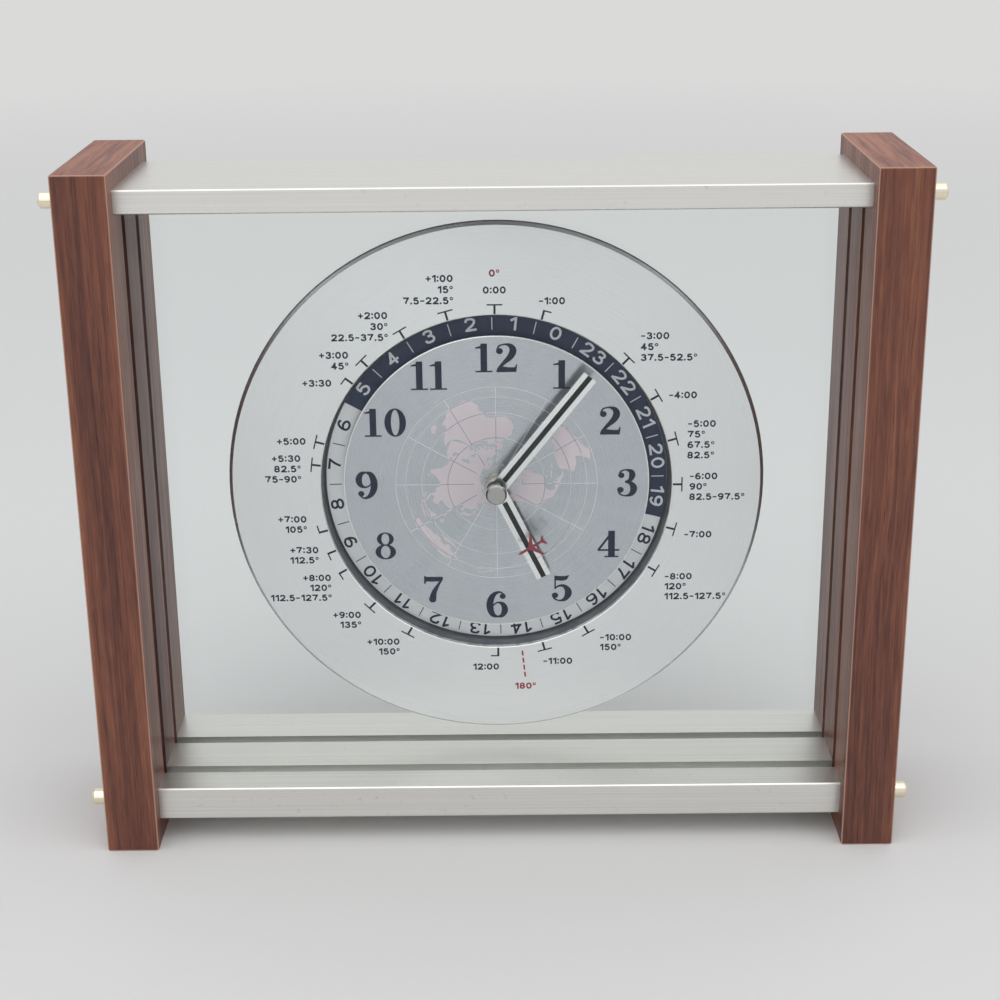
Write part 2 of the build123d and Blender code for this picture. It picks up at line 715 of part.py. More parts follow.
can = along_battery(battery_radius, can_start, can_end)
can = chamfer(can.edges().filter_by(GeomType.CIRCLE), contact_thickness)
dial_parts["battery"] = can + along_battery(battery_nub_radius, can_end, nub_tip)
contact_z = (battery_z - contact_width / 2, battery_z + contact_width / 2)
contact_y = (battery_y - contact_reach, battery_y + contact_reach)
plus = block((plus_face, chamber_half), contact_y, contact_z)
dial_parts["plus_contact"] = plus + along_battery(battery_nub_radius, nub_tip, plus_face)
wall_x = -chamber_half
leaf = [(wall_x, contact_y[0]), (wall_x + contact_thickness, contact_y[0]),
        (can_start, battery_y), (wall_x + contact_thickness, contact_y[1]), (wall_x, contact_y[1]),
        (wall_x, contact_y[1] - contact_thickness), (can_start - contact_thickness, battery_y),
        (wall_x, contact_y[0] + contact_thickness)]
leaf_sketch = Plane.XY.offset(contact_z[0]) * Polygon(*leaf)
dial_parts["minus_contact"] = extrude(leaf_sketch, amount=contact_width, dir=(0, 0, 1))

for name, shape in dial_parts.items():
    parts[name] = Pos(0, 0, dial_z) * shape

os.makedirs("parts", exist_ok=True)
for name, shape in parts.items():
    export_step(shape, f"parts/{name}.step")
print(len(parts), "nodes; frame", 2 * half_outer, "x", post_depth, "x", post_height, "mm; dial centre at", dial_z)
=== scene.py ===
import json
import math
import bpy
from mathutils import Matrix, Vector
from mathutils.geometry import delaunay_2d_cdt


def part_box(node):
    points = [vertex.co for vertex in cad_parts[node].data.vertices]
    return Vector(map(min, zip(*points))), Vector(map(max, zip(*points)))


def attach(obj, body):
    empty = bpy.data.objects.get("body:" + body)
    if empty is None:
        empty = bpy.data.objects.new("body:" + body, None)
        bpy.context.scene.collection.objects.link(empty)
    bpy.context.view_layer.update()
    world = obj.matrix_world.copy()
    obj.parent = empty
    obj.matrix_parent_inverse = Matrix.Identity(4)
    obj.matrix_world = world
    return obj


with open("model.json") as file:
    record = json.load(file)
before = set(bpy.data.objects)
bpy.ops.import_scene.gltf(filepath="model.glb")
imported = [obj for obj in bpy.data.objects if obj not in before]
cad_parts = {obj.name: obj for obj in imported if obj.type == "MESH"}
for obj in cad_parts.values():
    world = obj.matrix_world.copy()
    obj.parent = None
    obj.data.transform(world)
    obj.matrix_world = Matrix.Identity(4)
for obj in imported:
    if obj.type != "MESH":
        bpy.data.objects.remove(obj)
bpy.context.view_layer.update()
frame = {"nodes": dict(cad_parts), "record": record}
mm = 0.001
print("frame loaded:", len(frame["nodes"]), "nodes")

dialLow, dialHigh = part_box("outer_dial")
dialCenter = (dialLow + dialHigh) / 2
outerFront = dialLow.y  # printed faces, front to back
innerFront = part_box("inner_dial")[0].y
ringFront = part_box("day_disc")[0].y
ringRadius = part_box("day_disc")[1].x


# Node helpers: an input may be a plain value or another node's socket, and colours are given without their alpha
def feed(tree, node, inputs):
    for key, value in inputs.items():
        socket = node.inputs[key]
        if isinstance(value, bpy.types.NodeSocket):
            tree.links.new(value, socket)
        else:
            socket.default_value = (*value, 1) if socket.type == "RGBA" else value


def addNode(tree, kind, inputs=None, **settings):
    node = tree.nodes.new(kind)
    for key, value in settings.items():
        setattr(node, key, value)
    feed(tree, node, inputs or {})
    return node


def calc(tree, operation, *values):
    return addNode(tree, "ShaderNodeMath", dict(enumerate(values)), operation=operation).outputs[0]


def vectorCalc(tree, operation, *values, output=0):
    return addNode(tree, "ShaderNodeVectorMath", dict(enumerate(values)), operation=operation).outputs[output]


def noise(tree, vector, scale, detail=3.0, rough=0.6):
    values = {"Vector": vector, "Scale": scale, "Detail": detail, "Roughness": rough}
    return addNode(tree, "ShaderNodeTexNoise", values).outputs[0]


def stretchedNoise(tree, place, stretch, *settings):
    return noise(tree, vectorCalc(tree, "MULTIPLY", place, stretch), 1.0, *settings)


def remap(tree, value, low, high, newLow=0.0, newHigh=1.0):
    return addNode(tree, "ShaderNodeMapRange", {0: value, 1: low, 2: high, 3: newLow, 4: newHigh}).outputs[0]


def weighed(tree, *parts):
    total = 0.0
    for value, share in parts:
        total = calc(tree, "MULTIPLY_ADD", value, share, total)
    return total


def blendColors(tree, factor, first, second):
    return addNode(tree, "ShaderNodeMix", {0: factor, 6: first, 7: second}, data_type="RGBA").outputs[2]


def mixSurface(tree, factor, first, second, output="Material Output"):
    mixed = addNode(tree, "ShaderNodeMixShader", {0: factor, 1: first.outputs[0], 2: second.outputs[0]})
    feed(tree, tree.nodes[output], {"Surface": mixed.outputs[0]})


socketKinds = {tuple: "NodeSocketVector", float: "NodeSocketFloat", int: "NodeSocketInt",
               type(None): "NodeSocketMaterial"}
origin = (0, 0, 0)
toneSpan = (0.3, 0.7)  # the part of a noise that is spread over light and dark
bumpDepth = 0.0002


# A node group: the kind of each input follows from its starting value
def newTree(kind, name, inputs, outputs, outKind="NodeSocketFloat"):
    tree = bpy.data.node_groups.new(name, kind)
    for label, start in inputs.items():
        socket = tree.interface.new_socket(label, in_out="INPUT", socket_type=socketKinds[type(start)])
        if start is not None:
            socket.default_value = start
    for label in outputs:
        tree.interface.new_socket(label, in_out="OUTPUT", socket_type=outKind)
    return tree, tree.nodes.new("NodeGroupInput").outputs, tree.nodes.new("NodeGroupOutput")


# Straight brush lines: stretch sets how fine they are along each axis
def makeBrushedLines():
    inputs = {"Vector": origin, "Stretch": (1, 1, 1)}
    tree, given, out = newTree("ShaderNodeTree", "brushedLines", inputs, ["Tone", "Height"])
    spread = vectorCalc(tree, "MULTIPLY", given["Vector"], given["Stretch"])
    coarse, fine = noise(tree, spread, 0.35, 2.0), noise(tree, spread, 1.6, 4.0, 0.75)
    both = weighed(tree, (coarse, 0.4), (fine, 0.6))
    feed(tree, out, {"Tone": remap(tree, both, *toneSpan), "Height": fine})
    return tree


# Turned lines round the dial's axis, with a faint fan of painted sheen across them: light and dark sectors that stand
# in for the spun finish's reflections
def makeSpunLines():
    inputs = {"Vector": origin, "Center": origin, "Density": 4000.0}
    tree, given, out = newTree("ShaderNodeTree", "spunLines", inputs, ["Tone", "Height", "Fan"])
    flat = vectorCalc(tree, "MULTIPLY", vectorCalc(tree, "SUBTRACT", given["Vector"], given["Center"]), (1, 0, 1))
    along = calc(tree, "MULTIPLY", vectorCalc(tree, "LENGTH", flat, output="Value"), given["Density"])
    lines = addNode(tree, "ShaderNodeTexNoise", {"W": along, "Scale": 1.0, "Detail": 4.0, "Roughness": 0.7},
                    noise_dimensions="1D").outputs[0]
    fan = noise(tree, vectorCalc(tree, "NORMALIZE", flat), 5.0)
    feed(tree, out, {"Tone": remap(tree, lines, *toneSpan), "Height": lines, "Fan": remap(tree, fan, *toneSpan)})
    return tree


# Handling marks: soft smudges with a few fine specks
def makeHandling():
    inputs = {"Vector": origin, "Scale": 40.0, "Amount": 0.1}
    tree, given, out = newTree("ShaderNodeTree", "handling", inputs, ["Shift", "Speck"])
    smudge = noise(tree, given["Vector"], given["Scale"], 4.0, 0.55)
    shift = calc(tree, "MULTIPLY", calc(tree, "SUBTRACT", smudge, 0.5), given["Amount"])
    speck = noise(tree, given["Vector"], calc(tree, "MULTIPLY", given["Scale"], 14.0), 2.0)
    feed(tree, out, {"Shift": shift, "Speck": remap(tree, speck, 0.66, 0.74)})
    return tree


# Fine spark-eroded texture of moulded plastic
def makeMoulded():
    inputs = {"Vector": origin, "Scale": 2500.0}
    tree, given, out = newTree("ShaderNodeTree", "moulded", inputs, ["Tone", "Height"])
    grains = addNode(tree, "ShaderNodeTexVoronoi", {"Vector": given["Vector"], "Scale": given["Scale"]}).outputs[0]
    cloud = noise(tree, given["Vector"], calc(tree, "MULTIPLY", given["Scale"], 0.03))
    feed(tree, out, {"Tone": cloud, "Height": grains})
    return tree


groups = {"brushed": makeBrushedLines(), "spun": makeSpunLines(), "handling": makeHandling(), "moulded": makeMoulded()}


def newMaterial(name):
    material = bpy.data.materials.new(name)
    material.use_nodes = True
    tree = material.node_tree
    place = addNode(tree, "ShaderNodeTexCoord").outputs["Object"]
    return material, tree, tree.nodes["Principled BSDF"], place


def useGroup(tree, name, inputs):
    return addNode(tree, "ShaderNodeGroup", inputs, node_tree=groups[name]).outputs


plainLook = {"smudge": 60.0, "marks": 0.12, "metal": 0.0, "fixed": {}, "leastRough": 0.04, "acrossLines": 0.25}


# One finish: a pattern group gives tone and height, handling marks shift the roughness
def makeFinish(name, ownLook):
    look = {**plainLook, **ownLook}
    material, tree, shader, place = newMaterial(name)
    pattern = useGroup(tree, look["pattern"], {"Vector": place, **look["lines"]})
    marks = useGroup(tree, "handling", {"Vector": place, "Scale": look["smudge"], "Amount": look["marks"]})
    color = blendColors(tree, pattern["Tone"], look["dark"], look["light"])
    # Painted sheen: sectors of the colour darken to stand in for the fans of reflection on a spun finish
    if "fan" in look:
        color = blendColors(tree, calc(tree, "MULTIPLY", pattern["Fan"], look["fan"]), color, look["dark"])
    if "speck" in look:
        color = blendColors(tree, calc(tree, "MULTIPLY", marks["Speck"], look["speckShow"]), color, look["speck"])
    low, high = look["rough"]
    rough = calc(tree, "ADD", remap(tree, pattern["Tone"], 0.0, 1.0, high, low), marks["Shift"])
    feed(tree, shader, {"Base Color": color, "Roughness": calc(tree, "MAXIMUM", rough, look["leastRough"]),
                        "Metallic": look["metal"], **look["fixed"]})
    if "bump" in look:
        bump = addNode(tree, "ShaderNodeBump", {"Height": pattern["Height"], "Strength": look["bump"],
                                                "Distance": bumpDepth})
        feed(tree, shader, {"Normal": bump.outputs[0]})
    if "turned" in look:
        tangent = addNode(tree, "ShaderNodeTangent", direction_type="RADIAL", axis="Y")
        feed(tree, shader, {"Tangent": tangent.outputs[0], "Anisotropic": look["turned"],
                            "Anisotropic Rotation": look["acrossLines"]})
    return material


# Each finish: how fine its pattern is, its light and dark tone, its least and most roughness, and what else it has
def lookFrom(pattern, lines, light, dark, rough, **more):
    return {"pattern": pattern, "lines": lines, "light": light, "dark": dark, "rough": rough, **more}


def brushed(stretch, *tones, metal=1.0, **more):
    return lookFrom("brushed", {"Stretch": stretch}, *tones, metal=metal, **more)


def spun(density, *tones, **more):
    return lookFrom("spun", {"Center": tuple(dialCenter), "Density": density}, *tones, metal=1.0, **more)


def moulded(scale, *tones, **more):
    return lookFrom("moulded", {"Scale": scale}, *tones, **more)


def ink(light, dark, rough=(0.36, 0.46), **more):
    return moulded(inkScale, light, dark, rough, **more)


inkScale, dull = 3800.0, {"Specular IOR Level": 0.2}
finishes = {
    "railMetal": brushed((9, 5200, 5200), (0.83, 0.82, 0.785), (0.66, 0.65, 0.62), (0.28, 0.44), bump=0.10,
                         smudge=30.0, speck=(0.5, 0.48, 0.43), speckShow=0.35),
    "pinBrass": brushed((9000, 300, 300), (0.89, 0.82, 0.65), (0.80, 0.725, 0.545), (0.10, 0.2), bump=0.02,
                        smudge=300.0),
    # The spun silvers below darken sectors of their colour as painted sheen
    "dialSilver": spun(5200.0, (0.88, 0.885, 0.89), (0.77, 0.78, 0.795), (0.27, 0.36), bump=0.04, fan=0.22,
                       smudge=22.0, marks=0.06, turned=0.75),
    "plateSilver": spun(6500.0, (0.62, 0.645, 0.68), (0.46, 0.485, 0.53), (0.24, 0.33), bump=0.05, fan=0.5,
                        smudge=30.0, marks=0.06, turned=0.85),
    "ringSilver": spun(5200.0, (0.76, 0.77, 0.79), (0.64, 0.655, 0.68), (0.28, 0.38), bump=0.04, fan=0.25, turned=0.75),
    "hubMetal": spun(9000.0, (0.45, 0.445, 0.435), (0.37, 0.365, 0.352), (0.10, 0.2), bump=0.05, turned=0.5),
    "edgeBright": spun(9000.0, (0.86, 0.85, 0.825), (0.78, 0.77, 0.745), (0.16, 0.24)),
    "turnedBrass": spun(7000.0, (0.83, 0.66, 0.36), (0.68, 0.52, 0.26), (0.2, 0.32), bump=0.06),
    "gasketDark": moulded(3000.0, (0.086, 0.090, 0.102), (0.062, 0.066, 0.078), (0.5, 0.62), bump=0.03),
    "rimMetal": moulded(3000.0, (0.62, 0.63, 0.655), (0.55, 0.56, 0.585), (0.2, 0.3), metal=1.0),
    "cupGrey": moulded(2500.0, (0.235, 0.245, 0.275), (0.16, 0.17, 0.195), (0.42, 0.55), metal=0.6, bump=0.05),
    "handSilver": moulded(5200.0, (0.90, 0.905, 0.91), (0.82, 0.825, 0.835), (0.2, 0.3), metal=1.0, bump=0.01),
    "planeRed": moulded(2500.0, (0.27, 0.012, 0.028), (0.20, 0.008, 0.02), (0.3, 0.4),
                        fixed={"Coat Weight": 0.3, "Coat Roughness": 0.2}),
    "fastenerSteel": moulded(4200.0, (0.68, 0.68, 0.69), (0.56, 0.56, 0.575), (0.22, 0.34), metal=1.0, bump=0.02),
    "wheelWhite": moulded(2500.0, (0.86, 0.85, 0.80), (0.80, 0.785, 0.73), (0.36, 0.5), bump=0.03),
    "magnetDark": moulded(6000.0, (0.17, 0.165, 0.16), (0.11, 0.105, 0.1), (0.5, 0.62), metal=0.7, bump=0.08),
    "bobbinWhite": moulded(2500.0, (0.82, 0.79, 0.69), (0.75, 0.72, 0.62), (0.4, 0.52), bump=0.03),
    "caseBlack": moulded(1700.0, (0.040, 0.040, 0.043), (0.028, 0.028, 0.031), (0.42, 0.55), bump=0.16,
                         speck=(0.16, 0.155, 0.15), speckShow=0.35),
    "chipBlack": moulded(2500.0, (0.022, 0.022, 0.024), (0.014, 0.014, 0.016), (0.2, 0.3), bump=0.02),
    "cellWrap": moulded(2500.0, (0.13, 0.14, 0.16), (0.10, 0.11, 0.13), (0.2, 0.3), metal=0.4,
                        fixed={"Coat Weight": 0.4, "Coat Roughness": 0.1}),
    "motorSteel": brushed((400, 3000, 3000), (0.56, 0.56, 0.57), (0.43, 0.43, 0.445), (0.3, 0.42), bump=0.06),
    "copperWire": brushed((14000, 200, 200), (0.74, 0.36, 0.17), (0.44, 0.18, 0.08), (0.22, 0.36), bump=0.5),
    "boardGreen": brushed((700, 700, 90), (0.05, 0.20, 0.10), (0.03, 0.14, 0.07), (0.3, 0.42), metal=0.0, bump=0.02),
    "crystalCan": brushed((3000, 3000, 200), (0.78, 0.78, 0.79), (0.68, 0.68, 0.69), (0.14, 0.24), bump=0.02),
    "inkNavy": ink((0.012, 0.017, 0.044), (0.008, 0.012, 0.034), bump=0.02, fixed=dull),
    "inkNight": ink((0.020, 0.033, 0.084), (0.015, 0.026, 0.070), bump=0.02, fixed={"Specular IOR Level": 0.25}),
    "inkPale": ink((0.74, 0.77, 0.81), (0.66, 0.69, 0.74), (0.4, 0.5)),
    "inkRed": ink((0.36, 0.016, 0.036), (0.29, 0.012, 0.028), fixed=dull),
    "inkLand": ink((0.80, 0.705, 0.755), (0.735, 0.645, 0.695), metal=0.15),
    "inkLine": ink((0.33, 0.345, 0.41), (0.28, 0.295, 0.36), metal=0.4),
    "inkWhite": ink((0.84, 0.85, 0.86), (0.78, 0.79, 0.80), (0.4, 0.5)),
    "inkBlack": ink((0.010, 0.010, 0.013), (0.006, 0.006, 0.009), (0.28, 0.4), fixed=dull),
}
looks = {name: makeFinish(name, look) for name, look in finishes.items()}

# The pale edge colour in this table is a painted highlight for the rounded edges
rosewood = {"deep": (0.046, 0.015, 0.013), "brown": (0.108, 0.037, 0.026), "red": (0.185, 0.064, 0.038),
            "honey": (0.30, 0.122, 0.066), "end": (0.37, 0.155, 0.096), "endDark": (0.165, 0.060, 0.048),
            "rubbed": (0.60, 0.36, 0.26), "shine": 0.36, "bump": 0.22, "rough": (0.46, 0.36), "endRough": 0.1,
            "stops": {0.37: "deep", 0.45: "brown", 0.53: "red", 0.64: "honey"},
            "sway": (14, 14, 5), "swayReach": (0.006, 0.006, 0.0), "endLayer": (560, 20, 60), "endTones": (0.38, 0.62),
            "poreSpan": (0.60, 0.70, 0.0, 0.62), "endSpan": (0.35, 0.75), "edgeSpan": (0.97, 0.80, 0.0, 0.66),
            "streakRise": 0.35, "handling": {"Scale": 45.0, "Amount": 0.14}}
# Stretch, detail and roughness of each layer of grain
grainLayers = {"band": ((75, 75, 3), 2.0, 0.5), "streak": ((620, 620, 9), 4.0, 0.65), "fine": ((1900, 1900, 16), 3.0),
               "fleck": ((820, 820, 95), 3.0), "pore": ((1700, 1700, 55), 2.0)}
grainShares = {"band": 0.38, "streak": 0.30, "fine": 0.17, "fleck": 0.15}


# Quartered rosewood: bands and streaks run up the post, pores are short dark dashes, ends are paler, and rounded edges
# get a painted highlight
def makeRosewood(look):
    material, tree, shader, place = newMaterial("rosewood")
    sway = stretchedNoise(tree, place, look["sway"], 2.0)
    bent = vectorCalc(tree, "ADD", place, vectorCalc(tree, "MULTIPLY", look["swayReach"], sway))
    layers = {name: stretchedNoise(tree, bent, *settings) for name, settings in grainLayers.items()}
    grain = weighed(tree, *((layers[name], share) for name, share in grainShares.items()))
    ramp = addNode(tree, "ShaderNodeValToRGB", {0: grain})
    while len(ramp.color_ramp.elements) < len(look["stops"]):
        ramp.color_ramp.elements.new(0.5)
    for element, (at, tone) in zip(ramp.color_ramp.elements, look["stops"].items()):
        element.position, element.color = at, (*look[tone], 1)
    pores = remap(tree, layers["pore"], *look["poreSpan"])
    sides = blendColors(tree, pores, ramp.outputs[0], look["deep"])
    layer = stretchedNoise(tree, place, look["endLayer"], 4.0, 0.7)
    ends = blendColors(tree, remap(tree, layer, *look["endTones"]), look["endDark"], look["end"])
    facing = addNode(tree, "ShaderNodeSeparateXYZ", {0: addNode(tree, "ShaderNodeNewGeometry").outputs["Normal"]})
    x, y, z = (calc(tree, "ABSOLUTE", facing.outputs[axis]) for axis in "XYZ")
    upright = remap(tree, z, *look["endSpan"])
    # Painted highlight: faces that turn away from the main axes, the rounded edges, get a paler colour that stands in
    # for light catching them
    edge = remap(tree, calc(tree, "MAXIMUM", calc(tree, "MAXIMUM", x, y), z), *look["edgeSpan"])
    edgeLitColor = blendColors(tree, edge, blendColors(tree, upright, sides, ends), look["rubbed"])
    marks = useGroup(tree, "handling", {"Vector": place, **look["handling"]})
    rough = calc(tree, "ADD", remap(tree, layers["streak"], *toneSpan, *look["rough"]), marks["Shift"])
    height = calc(tree, "SUBTRACT", calc(tree, "MULTIPLY", layers["streak"], look["streakRise"]), pores)
    bump = addNode(tree, "ShaderNodeBump", {"Height": height, "Strength": look["bump"], "Distance": bumpDepth})
    feed(tree, shader, {"Base Color": edgeLitColor, "Roughness": calc(tree, "MULTIPLY_ADD", upright, look["endRough"], rough),
                        "Specular IOR Level": look["shine"], "Normal": bump.outputs[0]})
    return material


looks["rosewood"] = makeRosewood(rosewood)

clearSheets = {"paneGlass": {"tint": (0.975, 0.99, 0.985), "rough": 0.0, "bend": 1.28},
               "discClear": {"tint": (0.985, 0.99, 0.99), "rough": 0.02, "bend": 1.14}}


# Clear sheet: bends light for the eye, and lets the lamps shine through
def makeClear(name, look):
    material, tree, shader = newMaterial(name)[:3]
    feed(tree, shader, {"Base Color": look["tint"], "Roughness": look["rough"], "IOR": look["bend"],
                        "Transmission Weight": 1.0})
    ray = addNode(tree, "ShaderNodeLightPath").outputs["Is Shadow Ray"]
    mixSurface(tree, ray, shader, addNode(tree, "ShaderNodeBsdfTransparent", {"Color": look["tint"]}))
    return material


for name, look in clearSheets.items():
    looks[name] = makeClear(name, look)
print("finishes made:", len(looks))

# A slot's look has the slot's name, apart from these
otherLooks = {"clear_pane": "paneGlass", "clear_disc": "discClear", "ring_print": "ringSilver"}


def lookName(slot):
    first, *others = slot.split("_")
    return otherLooks.get(slot, first + "".join(word.capitalize() for word in others))


for part in frame["record"]["subparts"]:
    target = frame["nodes"][part["node"]]
    target.data.materials.clear()
    target.data.materials.append(looks[lookName(part["material_slot"])])


# Flat printing: a patch is a list of (x, z) points in mm from the dial's middle, and its triangles
def patchFrom(outlines):
    points, faces = [], []
    for outline in outlines:
        area = sum(a[0] * b[1] - b[0] * a[1] for a, b in zip(outline, outline[1:] + outline[:1]))
        ordered = outline if area > 0 else outline[::-1]
        faces.append(list(range(len(points), len(points) + len(ordered))))
        points += [Vector(p) for p in ordered]
    found = delaunay_2d_cdt(points, [], faces, 0, 1e-4)
    triangles = [tuple(face) for face, owners in zip(found[2], found[5]) if owners]
    return [tuple(p) for p in found[0]], triangles


def movePatch(patch, turn=0.0, shift=(0.0, 0.0)):
    c, s = math.cos(math.radians(turn)), math.sin(math.radians(turn))
    return [(x * c + z * s + shift[0], z * c - x * s + shift[1]) for x, z in patch[0]], patch[1]


def onRing(radius, angle):
    return radius * math.sin(math.radians(angle)), radius * math.cos(math.radians(angle))


def meshFrom(name, vertices, faces):
    mesh = bpy.data.meshes.new(name)
    mesh.from_pydata(vertices, [], faces)
    mesh.update()
    return mesh


def addObject(name, data):
    added = bpy.data.objects.new(name, data)
    bpy.context.scene.collection.objects.link(added)
    return added


def setPiece(name, mesh, material, body):
    piece = addObject(name, mesh)
    mesh.materials.clear()
    mesh.materials.append(looks[material])
    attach(piece, body)


def printPiece(name, patches, front, depth, material, body):
    vertices, faces = [], []
    for points, triangles in patches:
        start, count, sides = len(vertices), len(points), {}
        for face in triangles:
            (ax, az), (bx, bz), (cx, cz) = (points[i] for i in face)
            a, b, c = face if (bx - ax) * (cz - az) > (cx - ax) * (bz - az) else face[::-1]
            faces += [(start + a, start + b, start + c), (start + count + c, start + count + b, start + count + a)]
            for edge in ((a, b), (b, c), (c, a)):
                sides[tuple(sorted(edge))] = None if tuple(sorted(edge)) in sides else edge
        for a, b in filter(None, sides.values()):
            faces.append((start + b, start + a, start + count + a, start + count + b))
        for y in (front - depth * mm, front):
            vertices += [(dialCenter.x + x * mm, y, dialCenter.z + z * mm) for x, z in points]
    setPiece(name, meshFrom(name, vertices, faces), material, body)


# Bold book numerals, drawn as strokes that swell from hairline to stem; one unit is the figure's height
def strokePieces(path, steps=7):
    line, last = [], len(path) - 1
    for i in range(last):
        a, b, c, d = path[max(i - 1, 0)], path[i], path[i + 1], path[min(i + 2, last)]
        for k in range(steps + (i == last - 1)):
            t = k / steps
            line.append([0.5 * (2 * q + (r - p) * t + (2 * p - 5 * q + 4 * r - s) * t * t
                                + (3 * q - p - 3 * r + s) * t ** 3) for p, q, r, s in zip(a, b, c, d)])
    sides = []
    for i, (x, z, half) in enumerate(line):
        before, after = line[max(i - 1, 0)], line[min(i + 1, len(line) - 1)]
        dx, dz = after[0] - before[0], after[1] - before[1]
        size = math.hypot(dx, dz) or 1.0
        sides.append(((x - dz / size * half, z + dx / size * half), (x + dz / size * half, z - dx / size * half)))
    return [[a[0], b[0], b[1], a[1]] for a, b in zip(sides, sides[1:])]


def ovalPoints(x, z, across, high, count):
    return [(x + across * math.cos(2 * math.pi * k / count), z + high * math.sin(2 * math.pi * k / count))
            for k in range(count + 1)]


def ballOutline(x, z, radius, count=20):
    return ovalPoints(x, z, radius, radius, count)[:-1]


def bowlPieces(x, z, outer, inner, count=40):
    pairs = list(zip(ovalPoints(x, z, *outer, count), ovalPoints(x, z, *inner, count)))
    return [[a[0], b[0], b[1], a[1]] for a, b in zip(pairs, pairs[1:])]


def slabOutline(left, right, low, high):
    return [(left, low), (right, low), (right, high), (left, high)]


def halfTurn(shapes):
    return [[(-x, 1.0 - z) for x, z in shape] for shape in shapes]


sixPath = [(0.22, 0.86, 0.028), (0.10, 0.965, 0.030), (-0.04, 0.945, 0.055), (-0.17, 0.82, 0.09), (-0.25, 0.60, 0.112),
           (-0.25, 0.34, 0.112), (-0.16, 0.11, 0.085), (0.0, 0.03, 0.032)]
sixBowl = [(0.0, 0.03, 0.032), (0.15, 0.09, 0.075), (0.235, 0.29, 0.105), (0.18, 0.49, 0.08), (0.04, 0.575, 0.034),
           (-0.09, 0.53, 0.026), (-0.17, 0.42, 0.022)]
figures = {
    "0": bowlPieces(0, 0.5, (0.345, 0.505), (0.135, 0.455)),
    "1": [slabOutline(-0.105, 0.105, 0.03, 1.0), slabOutline(-0.27, 0.27, 0.0, 0.055),
          [(0.0, 1.0), (-0.10, 0.92), (-0.27, 0.87), (-0.27, 0.83), (0.0, 0.83)]],
    "2": strokePieces([(-0.30, 0.74, 0.026), (-0.23, 0.91, 0.028), (-0.03, 0.97, 0.032), (0.15, 0.90, 0.085),
                       (0.21, 0.73, 0.112), (0.12, 0.53, 0.10), (-0.07, 0.33, 0.065), (-0.27, 0.10, 0.04)])
    + [ballOutline(-0.215, 0.735, 0.108), [(-0.315, 0.0), (0.315, 0.0), (0.345, 0.27), (0.31, 0.27), (0.265, 0.17),
                                           (0.12, 0.165), (-0.10, 0.195), (-0.255, 0.165), (-0.315, 0.06)]],
    "3": strokePieces([(-0.26, 0.77, 0.026), (-0.19, 0.92, 0.028), (-0.02, 0.972, 0.030), (0.14, 0.90, 0.085),
                       (0.17, 0.755, 0.10), (0.10, 0.60, 0.065), (-0.06, 0.535, 0.026)])
    + strokePieces([(-0.06, 0.535, 0.026), (0.12, 0.49, 0.07), (0.225, 0.31, 0.112), (0.16, 0.11, 0.085),
                    (-0.02, 0.028, 0.030), (-0.21, 0.085, 0.028), (-0.29, 0.25, 0.026)])
    + [ballOutline(-0.18, 0.775, 0.10), ballOutline(-0.205, 0.245, 0.108)],
    "4": [slabOutline(-0.02, 0.20, 0.03, 0.99), slabOutline(-0.14, 0.32, 0.0, 0.055),
          slabOutline(-0.36, 0.35, 0.24, 0.305),
          [(-0.36, 0.245), (-0.36, 0.31), (0.10, 0.99), (0.18, 0.99), (-0.275, 0.30)]],
    "5": [[(-0.235, 0.98), (-0.08, 0.955), (0.10, 0.955), (0.26, 0.99), (0.17, 0.815), (0.02, 0.775), (-0.235, 0.80)],
          slabOutline(-0.235, -0.185, 0.46, 0.97)]
    + strokePieces([(-0.21, 0.50, 0.025), (-0.09, 0.585, 0.035), (0.08, 0.58, 0.062), (0.21, 0.42, 0.108),
                    (0.21, 0.24, 0.112), (0.10, 0.075, 0.07), (-0.06, 0.028, 0.030), (-0.22, 0.09, 0.028),
                    (-0.30, 0.23, 0.025)]) + [ballOutline(-0.215, 0.225, 0.105)],
    "6": strokePieces(sixPath) + strokePieces(sixBowl) + [ballOutline(0.165, 0.81, 0.10)],
    "7": [[(-0.31, 1.0), (-0.275, 1.0), (-0.22, 0.97), (0.31, 0.97), (0.31, 0.86), (0.24, 0.80), (-0.10, 0.785),
           (-0.22, 0.80), (-0.275, 0.70), (-0.31, 0.70)]]
    + strokePieces([(0.285, 0.885, 0.028), (0.15, 0.66, 0.05), (0.02, 0.40, 0.085), (-0.03, 0.18, 0.115),
                    (-0.04, 0.11, 0.12)]) + [ballOutline(-0.04, 0.115, 0.121)],
    "8": bowlPieces(0, 0.755, (0.275, 0.25), (0.125, 0.205)) + bowlPieces(0, 0.275, (0.335, 0.28), (0.155, 0.23)),
}
figures["9"] = halfTurn(figures["6"])
hourFigures = {"height": 9.6, "wide": 1.07, "advance": 7.3, "radius": 43.2, "depth": 0.03, "narrow": 6.2,
               "nudge": {10: 0.8}}


def numberOutlines(text, look):
    steps = [look["narrow"] if text == "11" else look["advance"]] * (len(text) - 1)
    starts = [sum(steps[:i]) - sum(steps) / 2 for i in range(len(text))]
    return [[(x * look["height"] * look["wide"] + start, (z - 0.5) * look["height"]) for x, z in shape]
            for letter, start in zip(text, starts) for shape in figures[letter]]


hourPatches = []
for hour in range(1, 13):
    patch = patchFrom(numberOutlines(str(hour), hourFigures))
    x, z = onRing(hourFigures["radius"], 30 * hour)
    hourPatches.append(movePatch(patch, shift=(x + hourFigures["nudge"].get(hour, 0), z)))
printPiece("hour_numerals", hourPatches, innerFront, hourFigures["depth"], "inkNavy", "frame")
print("hour numerals printed")


